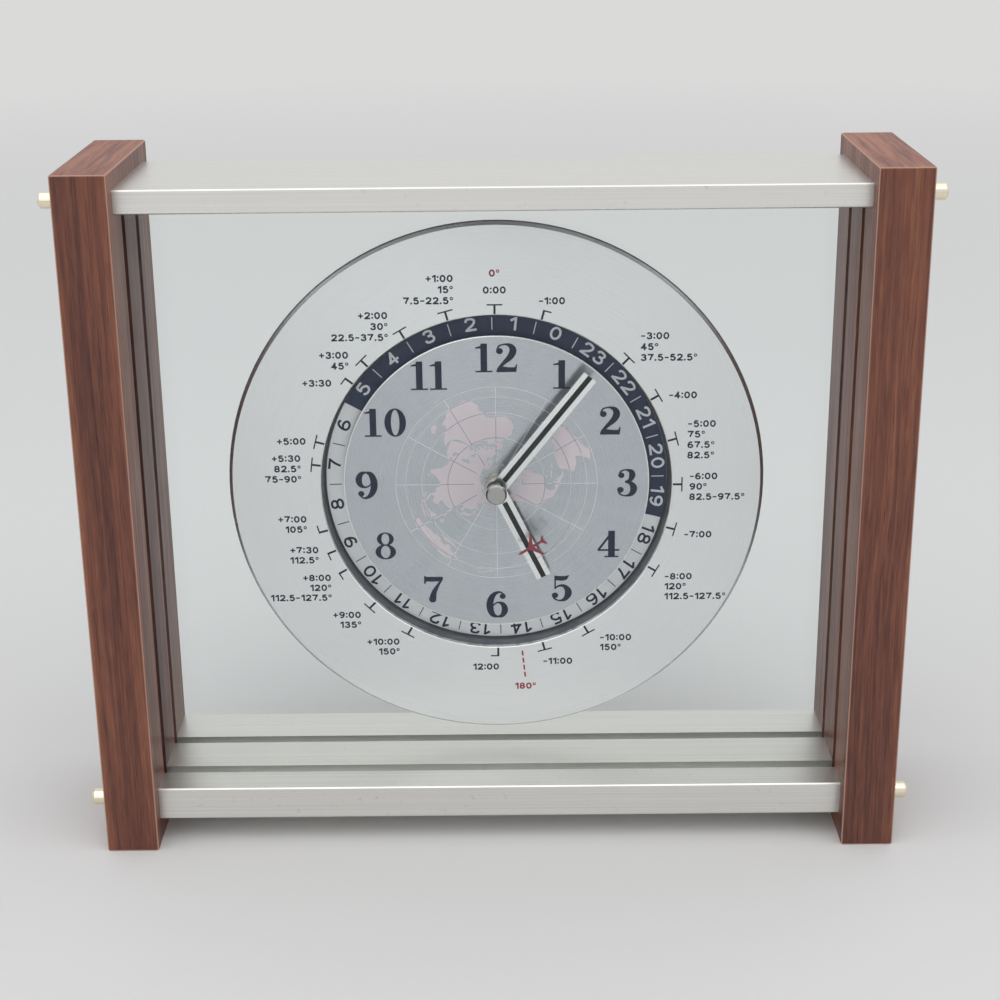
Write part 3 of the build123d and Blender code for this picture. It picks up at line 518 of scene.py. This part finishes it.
# Plain wide figures of even line: half is half the line, wide the figure's width, both in figure heights
def plainFigures(half, wide, gap):
    reach, rise, rim = wide / 2 - half, 1.0 - 2 * half, wide / 2
    sign, dot = half * 0.85, half * 1.2

    def line(*points):
        return strokePieces([(x * reach, half + z * rise, half) for x, z in points])

    def bowl(x, z, across, high):
        return bowlPieces(x, z, (across, high), (across - 2 * half, high - 2 * half))

    shapes = {
        "0": bowl(0, 0.5, rim, 0.5),
        "1": [slabOutline(0.05, 0.05 + 2 * half, 0, 1.0)] + line((-0.75, 0.76), (-0.30, 0.84), (0.25, 1.0)),
        "2": line((-1, 0.72), (-0.72, 0.94), (0, 1.0), (0.78, 0.91), (0.94, 0.70), (0.45, 0.42), (-0.4, 0.19),
                  (-0.95, 0.0)) + [slabOutline(-rim, rim, 0, 2 * half)],
        "3": line((-0.92, 0.80), (-0.60, 0.96), (0, 1.0), (0.74, 0.92), (0.84, 0.75), (0.45, 0.57), (-0.2, 0.54))
        + line((-0.2, 0.54), (0.6, 0.5), (1.0, 0.27), (0.68, 0.05), (0, 0), (-0.68, 0.05), (-1.0, 0.25)),
        "4": [slabOutline(reach * 0.4 - half, reach * 0.4 + half, 0, 1.0),
              slabOutline(-rim, rim, 0.22, 0.22 + 2 * half)] + line((-0.96, 0.20), (0.38, 1.0)),
        "5": [slabOutline(-reach * 0.8, reach * 0.9, 1.0 - 2 * half, 1.0)] + line((-0.74, 1.0), (-0.86, 0.50))
        + line((-0.86, 0.50), (-0.4, 0.62), (0.25, 0.62), (0.95, 0.40), (0.86, 0.15), (0.3, 0), (-0.45, 0.02),
               (-1.0, 0.2)),
        "6": bowl(0, 0.32, rim, 0.32) + line((-1.0, 0.28), (-0.94, 0.58), (-0.5, 0.88), (0.15, 1.0), (0.78, 0.89)),
        "7": [slabOutline(-rim, rim, 1.0 - 2 * half, 1.0)] + line((0.94, 0.97), (0.22, 0.5), (-0.25, 0.0)),
        "8": bowl(0, 0.75 - half / 2, rim * 0.88, 0.25 + half / 2) + bowl(0, 0.25 + half / 2, rim, 0.25 + half / 2),
        "+": [slabOutline(-0.34, 0.34, 0.47 - sign, 0.47 + sign), slabOutline(-sign, sign, 0.13, 0.81)],
        "-": [slabOutline(-0.27, 0.27, 0.47 - sign, 0.47 + sign)],
        ":": [ballOutline(0, z, dot, 12) for z in (0.2, 0.72)],
        ".": [ballOutline(0, dot, dot, 12)],
        "°": bowlPieces(0, 0.77, (0.23, 0.23), (0.095, 0.095))}
    shapes["9"] = halfTurn(shapes["6"])
    widths = {**dict.fromkeys("0123456789", wide), "1": wide * 0.62, "+": 0.72, "-": 0.6, ":": 0.24, ".": 0.24,
              "°": 0.46}
    return {"shapes": shapes, "widths": widths, "gap": gap}


# side -1 ends the text at its place, 0 centres it, 1 starts it there
def plainPatch(text, height, style, side=0):
    outlines, at = [], 0.0
    for letter in text:
        middle = at + style["widths"][letter] / 2
        outlines += [[(x + middle, z - 0.5) for x, z in shape] for shape in style["shapes"][letter]]
        at += style["widths"][letter] + style["gap"]
    start = (side - 1) / 2 * (at - style["gap"])
    return patchFrom([[((x + start) * height, z * height) for x, z in shape] for shape in outlines])


# Polar map, drawn from the pole outwards; each land is a row of longitudes and latitudes in turn
polarMap = {"radius": 33.4, "depth": 0.04, "lineDepth": 0.03, "landLineDepth": 0.01, "line": 0.22, "hub": 7.4,
            "meridians": 12, "latitudes": [90, 75, 60, 30, 0, -30, -60],
            "shares": [0.0, 0.15, 0.235, 0.482, 0.7395, 0.898, 1.0], "firstCircle": 3, "circleSides": 120,
            "circleParts": 180, "meridianParts": 54}
lands = {
    "africa": [
        -6, 36, -2, 35, 3, 37, 10, 37, 11, 34, 15, 32, 19, 30, 22, 33, 29, 31, 32, 31, 34, 28, 36, 23, 37, 20, 40, 15,
        43, 12, 47, 11, 51, 12, 49, 7, 44, 2, 40, -3, 39, -8, 41, -15, 35, -20, 35, -24, 32, -28, 28, -33, 20, -35,
        18, -32, 15, -27, 12, -17, 13, -9, 9, -1, 9, 4, 4, 6, -4, 5, -8, 4, -13, 8, -17, 14, -16, 20, -17, 23, -13, 28,
        -10, 31, -7, 34],
    "eurasia": [
        -6, 37, -9, 37, -9, 43, -2, 43, -1, 46, -5, 48, -2, 49, 2, 51, 5, 53, 8, 54, 8, 57, 11, 57, 10, 54, 14, 54,
        19, 54, 21, 57, 24, 58, 23, 59, 28, 60, 22, 60, 21, 62, 25, 65, 22, 66, 17, 62, 19, 60, 16, 57, 13, 55, 11, 59,
        7, 58, 5, 60, 9, 63, 13, 66, 16, 69, 25, 71, 31, 70, 41, 67, 40, 66, 33, 66, 37, 64, 44, 66, 44, 68, 54, 68,
        60, 69, 68, 68, 67, 71, 70, 73, 73, 71, 73, 68, 78, 72, 87, 74, 98, 76, 104, 78, 113, 76, 110, 74, 127, 73,
        131, 71, 140, 73, 152, 71, 160, 69, 171, 70, 180, 69, 189, 66, 181, 63, 170, 60, 163, 60, 162, 57, 160, 53,
        157, 51, 156, 57, 162, 61, 155, 59, 143, 59, 135, 55, 141, 53, 140, 48, 135, 43, 131, 43, 128, 40, 129, 37,
        129, 35, 126, 34, 126, 38, 124, 40, 121, 39, 118, 39, 119, 37, 122, 37, 119, 35, 122, 31, 121, 28, 118, 24,
        113, 22, 108, 21, 106, 19, 109, 15, 109, 12, 105, 9, 101, 13, 99, 10, 103, 4, 104, 1, 101, 3, 98, 8, 97, 16,
        94, 16, 91, 22, 87, 21, 82, 16, 80, 13, 80, 10, 77, 8, 74, 15, 72, 21, 69, 22, 67, 25, 57, 26, 54, 27, 50, 30,
        48, 30, 50, 26, 51, 24, 54, 24, 56, 26, 60, 22, 55, 17, 45, 13, 43, 13, 42, 16, 39, 21, 35, 28, 34, 31, 36, 36,
        31, 37, 27, 37, 26, 40, 29, 41, 35, 42, 41, 41.2, 47.4, 41.5, 49, 40, 50, 37.5, 54, 37, 53, 40, 53, 42,
        51, 44.5, 53, 46, 51, 47, 47, 45, 47.3, 41.9, 41, 41.6, 38, 45, 39, 47, 35, 46, 34, 44, 31, 46, 28, 44,
        28, 41.5, 23, 41, 24, 38, 23, 36, 21, 38, 19, 41, 14, 45, 12, 45, 14, 42, 18, 40, 16, 38, 12, 42, 9, 44, 4, 43,
        3, 42, 0, 40, 0, 38, -2, 37],
    "northAmerica": [
        -168, 66, -163, 67, -166, 68, -156, 71, -141, 70, -128, 70, -115, 68, -95, 68, -94, 72, -85, 70, -82, 67,
        -87, 64, -94, 61, -94, 58, -88, 57, -82, 55, -80, 51, -79, 54, -77, 57, -78, 62, -72, 62, -69, 59, -65, 60,
        -62, 57, -56, 52, -60, 50, -66, 50, -65, 48, -61, 46, -66, 44, -70, 43, -74, 40, -76, 36, -81, 31, -80, 27,
        -81, 25, -83, 29, -85, 30, -90, 29, -94, 29.5, -97, 27, -98, 22, -95, 18, -91, 19, -90, 21, -87, 21, -88, 16,
        -84, 16, -83, 11, -80, 9, -78, 9, -80, 7.5, -83, 8.5, -86, 11, -92, 14, -97, 16, -105, 20, -106, 23, -109, 26,
        -113, 31, -115, 31.5, -112, 27, -110, 23, -114, 28, -117, 33, -121, 35, -124, 40, -124, 48, -128, 51, -133, 56,
        -139, 60, -146, 61, -152, 59, -158, 56, -163, 55, -157, 58, -162, 59, -166, 62, -161, 64],
    "southAmerica": [
        -77.5, 8, -75, 11, -72, 12, -62, 10.5, -57, 6, -51, 4, -50, 0, -44, -2.5, -39, -3, -35, -6, -35, -9, -39, -13,
        -39, -18, -41, -22, -48, -25, -49, -29, -53, -34, -58, -34, -57, -37, -62, -39, -65, -41, -64, -43, -67, -46,
        -66, -48, -69, -51, -66, -55, -70, -55, -74, -51, -75, -46, -73, -41, -73, -37, -71, -30, -70, -18, -76, -14,
        -81, -6, -80, -3, -80, 1, -77, 4],
    "australia": [
        114, -22, 114, -26, 116, -34, 118, -35, 124, -33, 131, -31.5, 136, -35, 138, -33, 140, -38, 146, -39, 150, -37,
        153, -31, 153, -26, 149, -21, 146, -19, 145, -15, 142, -11, 141, -17, 136, -15, 136, -12, 132, -11, 129, -15,
        126, -14, 122, -18],
    "greenland": [
        -73, 78, -62, 82, -35, 83.5, -18, 80, -20, 74, -26, 70, -36, 66, -42, 62, -44, 60, -50, 62, -53, 66, -51, 70,
        -56, 74, -66, 76],
    "arcticIslands": [-62, 66, -68, 63, -77, 65, -72, 68, -80, 70, -90, 73, -80, 74, -70, 71],
    "novaya": [52, 71, 55, 74, 68, 77, 60, 74, 57, 71],
    "britain": [-5, 50, 1, 51, 1, 53, -2, 56, -3, 58.5, -6, 57, -3, 54, -5, 52],
    "ireland": [-10, 52, -6, 52, -6, 55, -9, 54],
    "iceland": [-24, 65.5, -16, 66.5, -14, 65, -19, 63.4, -22, 64],
    "honshu": [130, 31.5, 136, 33.6, 140, 35, 142, 39, 141, 41.5, 139.5, 38.5, 136, 37, 130, 34],
    "hokkaido": [140, 42, 145, 43, 142, 45.5],
    "sakhalin": [142, 46.5, 144, 49, 143, 54, 142, 50],
    "taiwan": [122, 25, 120, 24, 121, 22],
    "luzon": [120, 18, 122, 18, 122, 14, 124, 12, 120, 14],
    "mindanao": [122, 8, 125, 11, 127, 7, 125, 6],
    "sumatra": [95, 5.5, 98, 4, 104, -2, 106, -6, 102, -4],
    "java": [105, -6, 110, -6, 116, -8, 114, -9.5, 106, -8],
    "borneo": [109, 2, 113, 3, 117, 7, 119, 5, 117, 1, 116, -4, 111, -3],
    "sulawesi": [119, -5, 120, 1, 125, 2, 121, -1, 122, -5],
    "newGuinea": [131, -1, 135, -3, 141, -2.6, 146, -6, 150, -10.5, 144, -8, 138, -8, 133, -4],
    "northIsland": [173, -35, 178, -38, 176, -41, 174, -39.5],
    "southIsland": [173, -40.8, 174, -42, 171, -45, 167, -46.5, 168, -44],
    "madagascar": [49, -12, 50, -16, 47, -25, 44, -24, 44, -17],
    "ceylon": [80, 9.5, 82, 7, 80.5, 6],
    "cuba": [-85, 22, -80, 23.5, -74, 20, -78, 20.5],
    "hispaniola": [-74, 20, -69, 19.5, -69, 18, -74, 18],
    "newfoundland": [-59, 48, -56, 51.5, -53, 47],
}


def onMap(lon, lat, look):
    rule = list(zip(look["latitudes"], look["shares"]))
    for (highLat, highShare), (lowLat, lowShare) in zip(rule, rule[1:]):
        if lat >= lowLat:
            share = highShare + (lowShare - highShare) * (highLat - lat) / (highLat - lowLat)
            break
    return onRing(share * look["radius"], -lon)


def landOutline(points, look, pieces=4):
    outline = []
    for (lonA, latA), (lonB, latB) in zip(points, points[1:] + points[:1]):
        outline += [onMap(lonA + (lonB - lonA) * k / pieces, latA + (latB - latA) * k / pieces, look)
                    for k in range(pieces)]
    return outline


landOutlines = [landOutline(list(zip(row[::2], row[1::2])), polarMap) for row in lands.values()]
printPiece("map_land", [patchFrom([outline]) for outline in landOutlines], innerFront, polarMap["depth"],
           "inkLand", "frame")


def onLand(x, z):
    inside = False
    for outline in landOutlines:
        for (ax, az), (bx, bz) in zip(outline, outline[1:] + outline[:1]):
            if (az > z) != (bz > z) and x < ax + (z - az) / (bz - az) * (bx - ax):
                inside = not inside
    return inside


def bandPieces(inner, outer, start, end, count):
    angles = [start + (end - start) * k / count for k in range(count + 1)]
    return [[onRing(inner, a), onRing(outer, a), onRing(outer, b), onRing(inner, b)]
            for a, b in zip(angles, angles[1:])]


# Where the map's lines cross land they show dark
landLines, half = [], polarMap["line"] / 2
circleReaches = [share * polarMap["radius"] for share in polarMap["shares"][polarMap["firstCircle"]:]]
for reach in circleReaches:
    landLines += bandPieces(reach - half, reach + half, 0, 360, polarMap["circleParts"])
for k in range(polarMap["meridians"]):
    angle, pieces = 360 / polarMap["meridians"] * k, polarMap["meridianParts"]
    steps = [polarMap["hub"] + (polarMap["radius"] - polarMap["hub"]) * i / pieces for i in range(pieces + 1)]
    for low, high in zip(steps, steps[1:]):
        landLines.append(movePatch((slabOutline(-half, half, low, high), []), turn=angle)[0])
landLines = [piece for piece in landLines if onLand(sum(p[0] for p in piece) / 4, sum(p[1] for p in piece) / 4)]
printPiece("map_land_lines", [patchFrom(landLines)], innerFront - polarMap["depth"] * mm, polarMap["landLineDepth"],
           "inkLine", "frame")


# Geometry Nodes: marks that repeat round the dial
def newMarks(name, inputs):
    return newTree("GeometryNodeTree", name, {**inputs, "Depth": 0.00003, "Middle": origin, "Material": None},
                   ["Geometry"], "NodeSocketGeometry")


def closeTree(tree, geometry, given, out):
    whole = addNode(tree, "GeometryNodeRealizeInstances", {0: geometry})
    painted = addNode(tree, "GeometryNodeSetMaterial", {"Geometry": whole.outputs[0], "Material": given["Material"]})
    feed(tree, out, {"Geometry": painted.outputs[0]})
    return tree


def makeRadialMarks():
    tree, given, out = newMarks("radialMarks", {"Count": 12, "Start": 0.0, "Step": 30.0, "Inner": 0.01, "Outer": 0.02,
                                                "Width": 0.0005})
    bar = addNode(tree, "GeometryNodeMeshCube", {"Size": addNode(tree, "ShaderNodeCombineXYZ", {
        0: given["Width"], 1: given["Depth"], 2: calc(tree, "SUBTRACT", given["Outer"], given["Inner"])}).outputs[0]})
    index = addNode(tree, "GeometryNodeInputIndex").outputs[0]
    angle = calc(tree, "RADIANS", calc(tree, "ADD", given["Start"], calc(tree, "MULTIPLY", index, given["Step"])))
    reach = calc(tree, "MULTIPLY", calc(tree, "ADD", given["Outer"], given["Inner"]), 0.5)
    spot = addNode(tree, "ShaderNodeCombineXYZ", {0: calc(tree, "MULTIPLY", calc(tree, "SINE", angle), reach),
                                                  2: calc(tree, "MULTIPLY", calc(tree, "COSINE", angle), reach)})
    place = vectorCalc(tree, "ADD", spot.outputs[0], given["Middle"])
    dots = addNode(tree, "GeometryNodePoints", {"Count": given["Count"], "Position": place})
    turn = addNode(tree, "ShaderNodeCombineXYZ", {1: angle})
    rows = addNode(tree, "GeometryNodeInstanceOnPoints", {"Points": dots.outputs[0], "Instance": bar.outputs[0],
                                                          "Rotation": turn.outputs[0]})
    return closeTree(tree, rows.outputs[0], given, out)


def makeMapCircles(labels, sides):
    tree, given, out = newMarks("mapCircles", {**dict.fromkeys(labels, 0.01), "Width": 0.0003})
    profile = addNode(tree, "GeometryNodeCurvePrimitiveQuadrilateral",
                      {"Width": given["Width"], "Height": given["Depth"]}).outputs[0]
    joined = addNode(tree, "GeometryNodeJoinGeometry")
    for label in labels:
        circle = addNode(tree, "GeometryNodeCurvePrimitiveCircle", {"Resolution": sides, "Radius": given[label]})
        line = addNode(tree, "GeometryNodeCurveToMesh", {"Curve": circle.outputs[0], "Profile Curve": profile})
        feed(tree, joined, {0: line.outputs[0]})
    facing = addNode(tree, "GeometryNodeTransform", {"Geometry": joined.outputs[0], "Translation": given["Middle"],
                                                     "Rotation": (math.radians(90), 0, 0)})
    return closeTree(tree, facing.outputs[0], given, out)


def growPiece(name, tree, values, material, body):
    holder = addObject(name, bpy.data.meshes.new(name))
    modifier = holder.modifiers.new("marks", "NODES")
    modifier.node_group = tree
    sockets = {item.name: item.identifier for item in tree.interface.items_tree if item.in_out == "INPUT"}
    for label, value in {**values, "Material": looks[material]}.items():
        modifier[sockets[label]] = value
    holder.update_tag()
    mesh = bpy.data.meshes.new_from_object(holder.evaluated_get(bpy.context.evaluated_depsgraph_get()))
    holder.modifiers.clear()
    bpy.data.objects.remove(holder)
    setPiece(name, mesh, material, body)


def faceMiddle(front, depth):
    return (dialCenter.x, front - depth * mm / 2, dialCenter.z)


mapRings = {"Ring " + str(i): reach * mm for i, reach in enumerate(circleReaches, 1)}
radialMarks, mapCircles = makeRadialMarks(), makeMapCircles(list(mapRings), polarMap["circleSides"])
mapLine = {"Width": polarMap["line"] * mm, "Depth": polarMap["lineDepth"] * mm,
           "Middle": faceMiddle(innerFront, polarMap["lineDepth"])}
mapSpokes = {"Count": polarMap["meridians"], "Step": 360 / polarMap["meridians"], "Inner": polarMap["hub"] * mm,
             "Outer": polarMap["radius"] * mm}
growPiece("map_circles", mapCircles, {**mapLine, **mapRings}, "inkWhite", "frame")
growPiece("map_meridians", radialMarks, {**mapLine, **mapSpokes}, "inkWhite", "frame")
print("polar map printed")

# Turning ring: night half dark with pale figures, day half bare with dark ones
dayRing = {"hourOne": 6.5, "step": -15.0, "dawn": 5.5, "dusk": 18.5, "figureHeight": 4.5, "figureRadius": 53.9,
           "printDepth": 0.03, "tickInner": 51.6, "tickOuter": 55.7, "tickWidth": 0.3, "nightInner": 48.0,
           "nightParts": 66, "line": 0.086, "wide": 0.82, "gap": 0.24}
dawn, dusk, ringDepth = dayRing["dawn"], dayRing["dusk"], dayRing["printDepth"]


def ringAngle(hour):
    return dayRing["hourOne"] + dayRing["step"] * (hour - 1)


night = bandPieces(dayRing["nightInner"], ringRadius / mm, ringAngle(dawn), ringAngle(dusk - 24), dayRing["nightParts"])
printPiece("night_band", [patchFrom(night)], ringFront, ringDepth, "inkNight", "day_ring")
ringSets = {"night": [], "day": []}
ringStyle = plainFigures(dayRing["line"], dayRing["wide"], dayRing["gap"])
for hour in range(24):
    figure = plainPatch(str(hour), dayRing["figureHeight"], ringStyle)
    angle = ringAngle(hour)
    spot = movePatch(figure, turn=angle, shift=onRing(dayRing["figureRadius"], angle))
    ringSets["day" if dawn < hour < dusk else "night"].append(spot)
# Front of each half, its ink, and the hours between which it lies
ringHalves = {"night": (ringFront - ringDepth * mm, "inkPale", dusk - 24, dawn),
              "day": (ringFront, "inkNavy", dawn, dusk)}
for name, (front, tone, start, end) in ringHalves.items():
    printPiece(name + "_figures", ringSets[name], front, ringDepth, tone, "day_ring")
tick = {"Inner": dayRing["tickInner"] * mm, "Outer": dayRing["tickOuter"] * mm, "Width": dayRing["tickWidth"] * mm,
        "Depth": ringDepth * mm, "Step": dayRing["step"]}
for name, (front, tone, start, end) in ringHalves.items():
    own = {"Count": int(end - start) - 1, "Start": ringAngle(start + 1), "Middle": faceMiddle(front, ringDepth)}
    growPiece(name + "_ticks", radialMarks, {**tick, **own}, tone, "day_ring")
print("24-hour ring printed")

# Outer dial: a T or half T for each zone, with its hours, its meridian and its edges in degrees beside it
zoneMarks = {"stemIn": 58.3, "stemOut": 61.5, "stem": 0.70, "line": 0.45, "bar": 4.3, "depth": 0.03, "letter": 2.35,
             "pitch": 3.6, "weight": 0.112, "wide": 0.81, "gap": 0.15, "hour": 15}
zones = [  # angle, bar on the left and right of the stem, rows, side the text runs to, and its place
    (0, 1, 1, 1, 0, (0.0, 66.1)), (15, 0, 1, 1, 1, (14.2, 62.4)), (45, 1, 1, 3, 1, (47.0, 47.0)),
    (60, 1, 1, 1, 1, (56.4, 30.7)), (75, 1, 1, 4, 1, (62.8, 15.5)), (90, 1, 1, 3, 1, (63.8, -0.8)),
    (105, 1, 1, 1, 1, (62.4, -17.7)), (120, 1, 1, 3, 1, (56.2, -36.3)), (150, 1, 1, 2, 1, (34.6, -56.6)),
    (165, 1, 1, 1, 1, (15.3, -63.4)), (180, 0, 1, 1, -1, (0.2, -65.3)), (-15, 1, 1, 3, -1, (-13.2, 66.4)),
    (-30, 1, 1, 3, -1, (-34.4, 54.5)), (-45, 1, 1, 2, -1, (-47.4, 43.3)), (-52.5, 1, 0, 1, -1, (-53.2, 35.8)),
    (-75, 1, 1, 1, -1, (-62.4, 16.1)), (-82.5, 1, 1, 3, -1, (-64.4, 6.6)), (-105, 0, 1, 2, -1, (-63.3, -12.9)),
    (-112.5, 1, 0, 2, -1, (-59.8, -23.9)), (-120, 1, 0, 3, -1, (-56.0, -35.7)), (-135, 1, 1, 2, -1, (-46.4, -47.5)),
    (-150, 1, 1, 2, -1, (-33.6, -57.5))]


def zoneRows(angle, count):
    ahead, reach = -angle / zoneMarks["hour"], zoneMarks["hour"] / 2
    sign = "+" if ahead > 0 else "-" if -12 < ahead < 0 else ""
    edges = sorted(abs(-angle + half) for half in (-reach, reach))
    hours = sign + str(int(abs(ahead))) + (":30" if ahead % 1 else ":00")
    spans = [f"{edge:g}°" for edge in edges] if count > 3 else ["{:g}-{:g}°".format(*edges)]
    return [hours, f"{abs(angle):g}°", *spans][:count]


stem, bar, linePatches = zoneMarks["stem"] / 2, zoneMarks["bar"] / 2, []
barLow, barHigh = zoneMarks["stemOut"] - zoneMarks["line"], zoneMarks["stemOut"]
zoneStyle = plainFigures(zoneMarks["weight"], zoneMarks["wide"], zoneMarks["gap"])
for angle, left, right, count, side, (x, z) in zones:
    shapes = [slabOutline(-stem, stem, zoneMarks["stemIn"], zoneMarks["stemOut"]),
              slabOutline(-bar * left - stem, bar * right + stem, barLow, barHigh)]
    linePatches.append(movePatch(patchFrom(shapes), turn=angle))
    for row, text in enumerate(zoneRows(angle, count)):
        height = ((count - 1) / 2 - row) * zoneMarks["pitch"]
        linePatches.append(movePatch(plainPatch(text, zoneMarks["letter"], zoneStyle, side), shift=(x, z + height)))
printPiece("zone_marks", linePatches, outerFront, zoneMarks["depth"], "inkNavy", "frame")
redMarks = {"dashes": 4, "start": (8.2, -59.5), "end": (9.25, -70.0), "line": 0.55, "fill": 0.68,
            "figures": [("0°", (0.0, 71.6)), ("180°", (9.2, -72.6))]}
redPatches = [movePatch(plainPatch(text, zoneMarks["letter"], zoneStyle), shift=spot)
              for text, spot in redMarks["figures"]]
(startX, startZ), (endX, endZ), half = redMarks["start"], redMarks["end"], redMarks["line"] / 2
for k in range(redMarks["dashes"]):
    span = [(k + part) / redMarks["dashes"] for part in (0.0, redMarks["fill"])]
    (ax, az), (bx, bz) = [(startX + (endX - startX) * t, startZ + (endZ - startZ) * t) for t in span]
    redPatches.append(patchFrom([[(ax - half, az), (ax + half, az), (bx + half, bz), (bx - half, bz)]]))
printPiece("meridian_marks", redPatches, outerFront, zoneMarks["depth"], "inkRed", "frame")
print("zone marks printed:", len(zones))

# Turned trim: a bevel from the dial's edge down to the gasket, a bright lip round the opening
# and the inner dial's bright edge
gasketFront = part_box("dial_gasket")[0].y
plateRadius = (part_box("inner_dial")[1].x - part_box("inner_dial")[0].x) / 2 / mm
rimBevel = {"inner": 87.1, "outer": 88.16, "drop": 0.16, "lead": 0.15, "land": 0.03}
openingLip = {"inner": 58.0, "crown": 58.24, "outer": 58.27, "height": 0.14}
plateEdge = {"inner": -0.34, "crown": -0.32, "outer": -0.02, "height": 0.08}


# Each corner of the profile is a radius, a depth and how far its circle hangs below the dial's middle
def turnedPiece(name, profile, material, count=240):
    vertices, faces, sides = [], [], len(profile)
    for k in range(count):
        angle = 2 * math.pi * k / count
        for radius, depth, drop in profile:
            x, z = radius * math.sin(angle), radius * math.cos(angle) - drop
            vertices.append((dialCenter.x + x * mm, depth, dialCenter.z + z * mm))
        for i in range(sides):
            j, following = (i + 1) % sides, (k + 1) % count
            faces.append((k * sides + i, k * sides + j, following * sides + j, following * sides + i))
    setPiece(name, meshFrom(name, vertices, faces), material, "frame")


def raisedEdge(name, radius, look, front):
    turnedPiece(name, [(radius + look["crown"], front - look["height"] * mm, 0), (radius + look["inner"], front, 0),
                       (radius + look["outer"], front, 0)], "edgeBright")


def bevelProfile(look):
    return [(look["inner"], outerFront + look["lead"] * mm, 0), (look["inner"], gasketFront, 0),
            (look["outer"], gasketFront, look["drop"]), (look["outer"], gasketFront - look["land"] * mm, look["drop"])]


turnedPiece("rim_bevel", bevelProfile(rimBevel), "rimMetal")
raisedEdge("opening_lip", 0, openingLip, outerFront)
raisedEdge("plate_edge", plateRadius, plateEdge, innerFront)
print("trim turned")

# Black stripes down the middle of the hands
handStripes = {"minute_stripe": {"body": "minute", "node": "minute_hand", "angle": 38.7, "start": 4.0, "end": 49.0},
               "hour_stripe": {"body": "hour", "node": "hour_hand", "angle": 154.0, "start": 6.0, "end": 35.5}}
stripeWidth, stripeDepth = 1.75, 0.03
for name, look in handStripes.items():
    outline = slabOutline(-stripeWidth / 2, stripeWidth / 2, look["start"], look["end"])
    printPiece(name, [movePatch(patchFrom([outline]), turn=look["angle"])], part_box(look["node"])[0].y, stripeDepth,
               "inkBlack", look["body"])
print("hand stripes printed")

# Floor, light and camera
studio = {"floor": (0.80, 0.79, 0.775), "floorSize": 8.0, "floorRough": 0.75, "cloud": 3.0, "cloudDark": 0.985,
          "far": (0.70, 0.70, 0.695), "farStart": 0.5, "farEnd": 2.0, "world": (0.93, 0.96, 1.0), "worldLight": 0.57,
          "backdrop": (0.80, 0.805, 0.81), "aim": (0, 0, 0.1),
          "lamps": [("keyLamp", (-0.75, -1.05, 1.35), 2.8, 11.0), ("fillLamp", (1.3, -0.9, 1.15), 2.0, 5.5),
                    ("topLamp", (0.1, -0.3, 1.5), 2.2, 7.0)]}


# What the eye sees straight on, mirrored or through glass
def seenRays(tree):
    rays = addNode(tree, "ShaderNodeLightPath").outputs
    mirrored = calc(tree, "MAXIMUM", rays["Is Glossy Ray"], rays["Is Transmission Ray"])
    return calc(tree, "MAXIMUM", rays["Is Camera Ray"], mirrored)


def makeFloor():
    corners = slabOutline(-studio["floorSize"], studio["floorSize"], -studio["floorSize"], studio["floorSize"])
    mesh = meshFrom("floor", [(x, y, 0) for x, y in corners], [(0, 1, 2, 3)])
    floor = addObject("floor", mesh)
    material, tree, shader, place = newMaterial("paperFloor")
    cloud = noise(tree, place, studio["cloud"], 4.0)
    dark = tuple(studio["cloudDark"] * c for c in studio["floor"])
    feed(tree, shader, {"Base Color": blendColors(tree, cloud, dark, studio["floor"]),
                        "Roughness": studio["floorRough"]})
    away = vectorCalc(tree, "LENGTH", place, output="Value")
    share = calc(tree, "MULTIPLY", seenRays(tree), remap(tree, away, studio["farStart"], studio["farEnd"]))
    mixSurface(tree, share, shader, addNode(tree, "ShaderNodeEmission", {"Color": studio["far"]}))
    mesh.materials.append(material)


def makeLamp(name, spot, size, power):
    lamp = bpy.data.lights.new(name, "AREA")
    lamp.size, lamp.energy = size, power
    holder = addObject(name, lamp)
    holder.location = spot
    holder.rotation_euler = (Vector(studio["aim"]) - Vector(spot)).to_track_quat("-Z", "Y").to_euler()


def makeWorld():
    world = bpy.data.worlds.new("studioWorld")
    world.use_nodes = True
    tree = world.node_tree
    light = tree.nodes["Background"]
    feed(tree, light, {0: studio["world"], 1: studio["worldLight"]})
    paper = addNode(tree, "ShaderNodeBackground", {"Color": studio["backdrop"]})
    mixSurface(tree, seenRays(tree), light, paper, "World Output")
    bpy.context.scene.world = world


makeFloor()
for lampRow in studio["lamps"]:
    makeLamp(*lampRow)
makeWorld()
bpy.context.scene.view_settings.view_transform = "Standard"

eye = {"spot": (3.1 * mm, -584.8 * mm, 318.5 * mm), "pitch": 19.57, "yaw": 0.19, "roll": 0.60, "lens": 68.0,
       "sensor": 36.0, "clip": (0.02, 40.0)}


def makeCamera():
    pitch, yaw, roll = (math.radians(eye[k]) for k in ("pitch", "yaw", "roll"))
    across = Vector((math.cos(yaw), math.sin(yaw), 0))
    ahead = Vector((-math.sin(yaw), math.cos(yaw), 0))
    forward = math.cos(pitch) * ahead - math.sin(pitch) * Vector((0, 0, 1))
    level = math.sin(pitch) * ahead + math.cos(pitch) * Vector((0, 0, 1))
    right = math.cos(roll) * across - math.sin(roll) * level
    up = math.sin(roll) * across + math.cos(roll) * level
    data = bpy.data.cameras.new("eye")
    data.lens, data.sensor_width, (data.clip_start, data.clip_end) = eye["lens"], eye["sensor"], eye["clip"]
    camera = addObject("eye", data)
    camera.matrix_world = Matrix.Translation(eye["spot"]) @ Matrix((right, up, -forward)).transposed().to_4x4()
    bpy.context.scene.camera = camera


makeCamera()
print("scene ready")
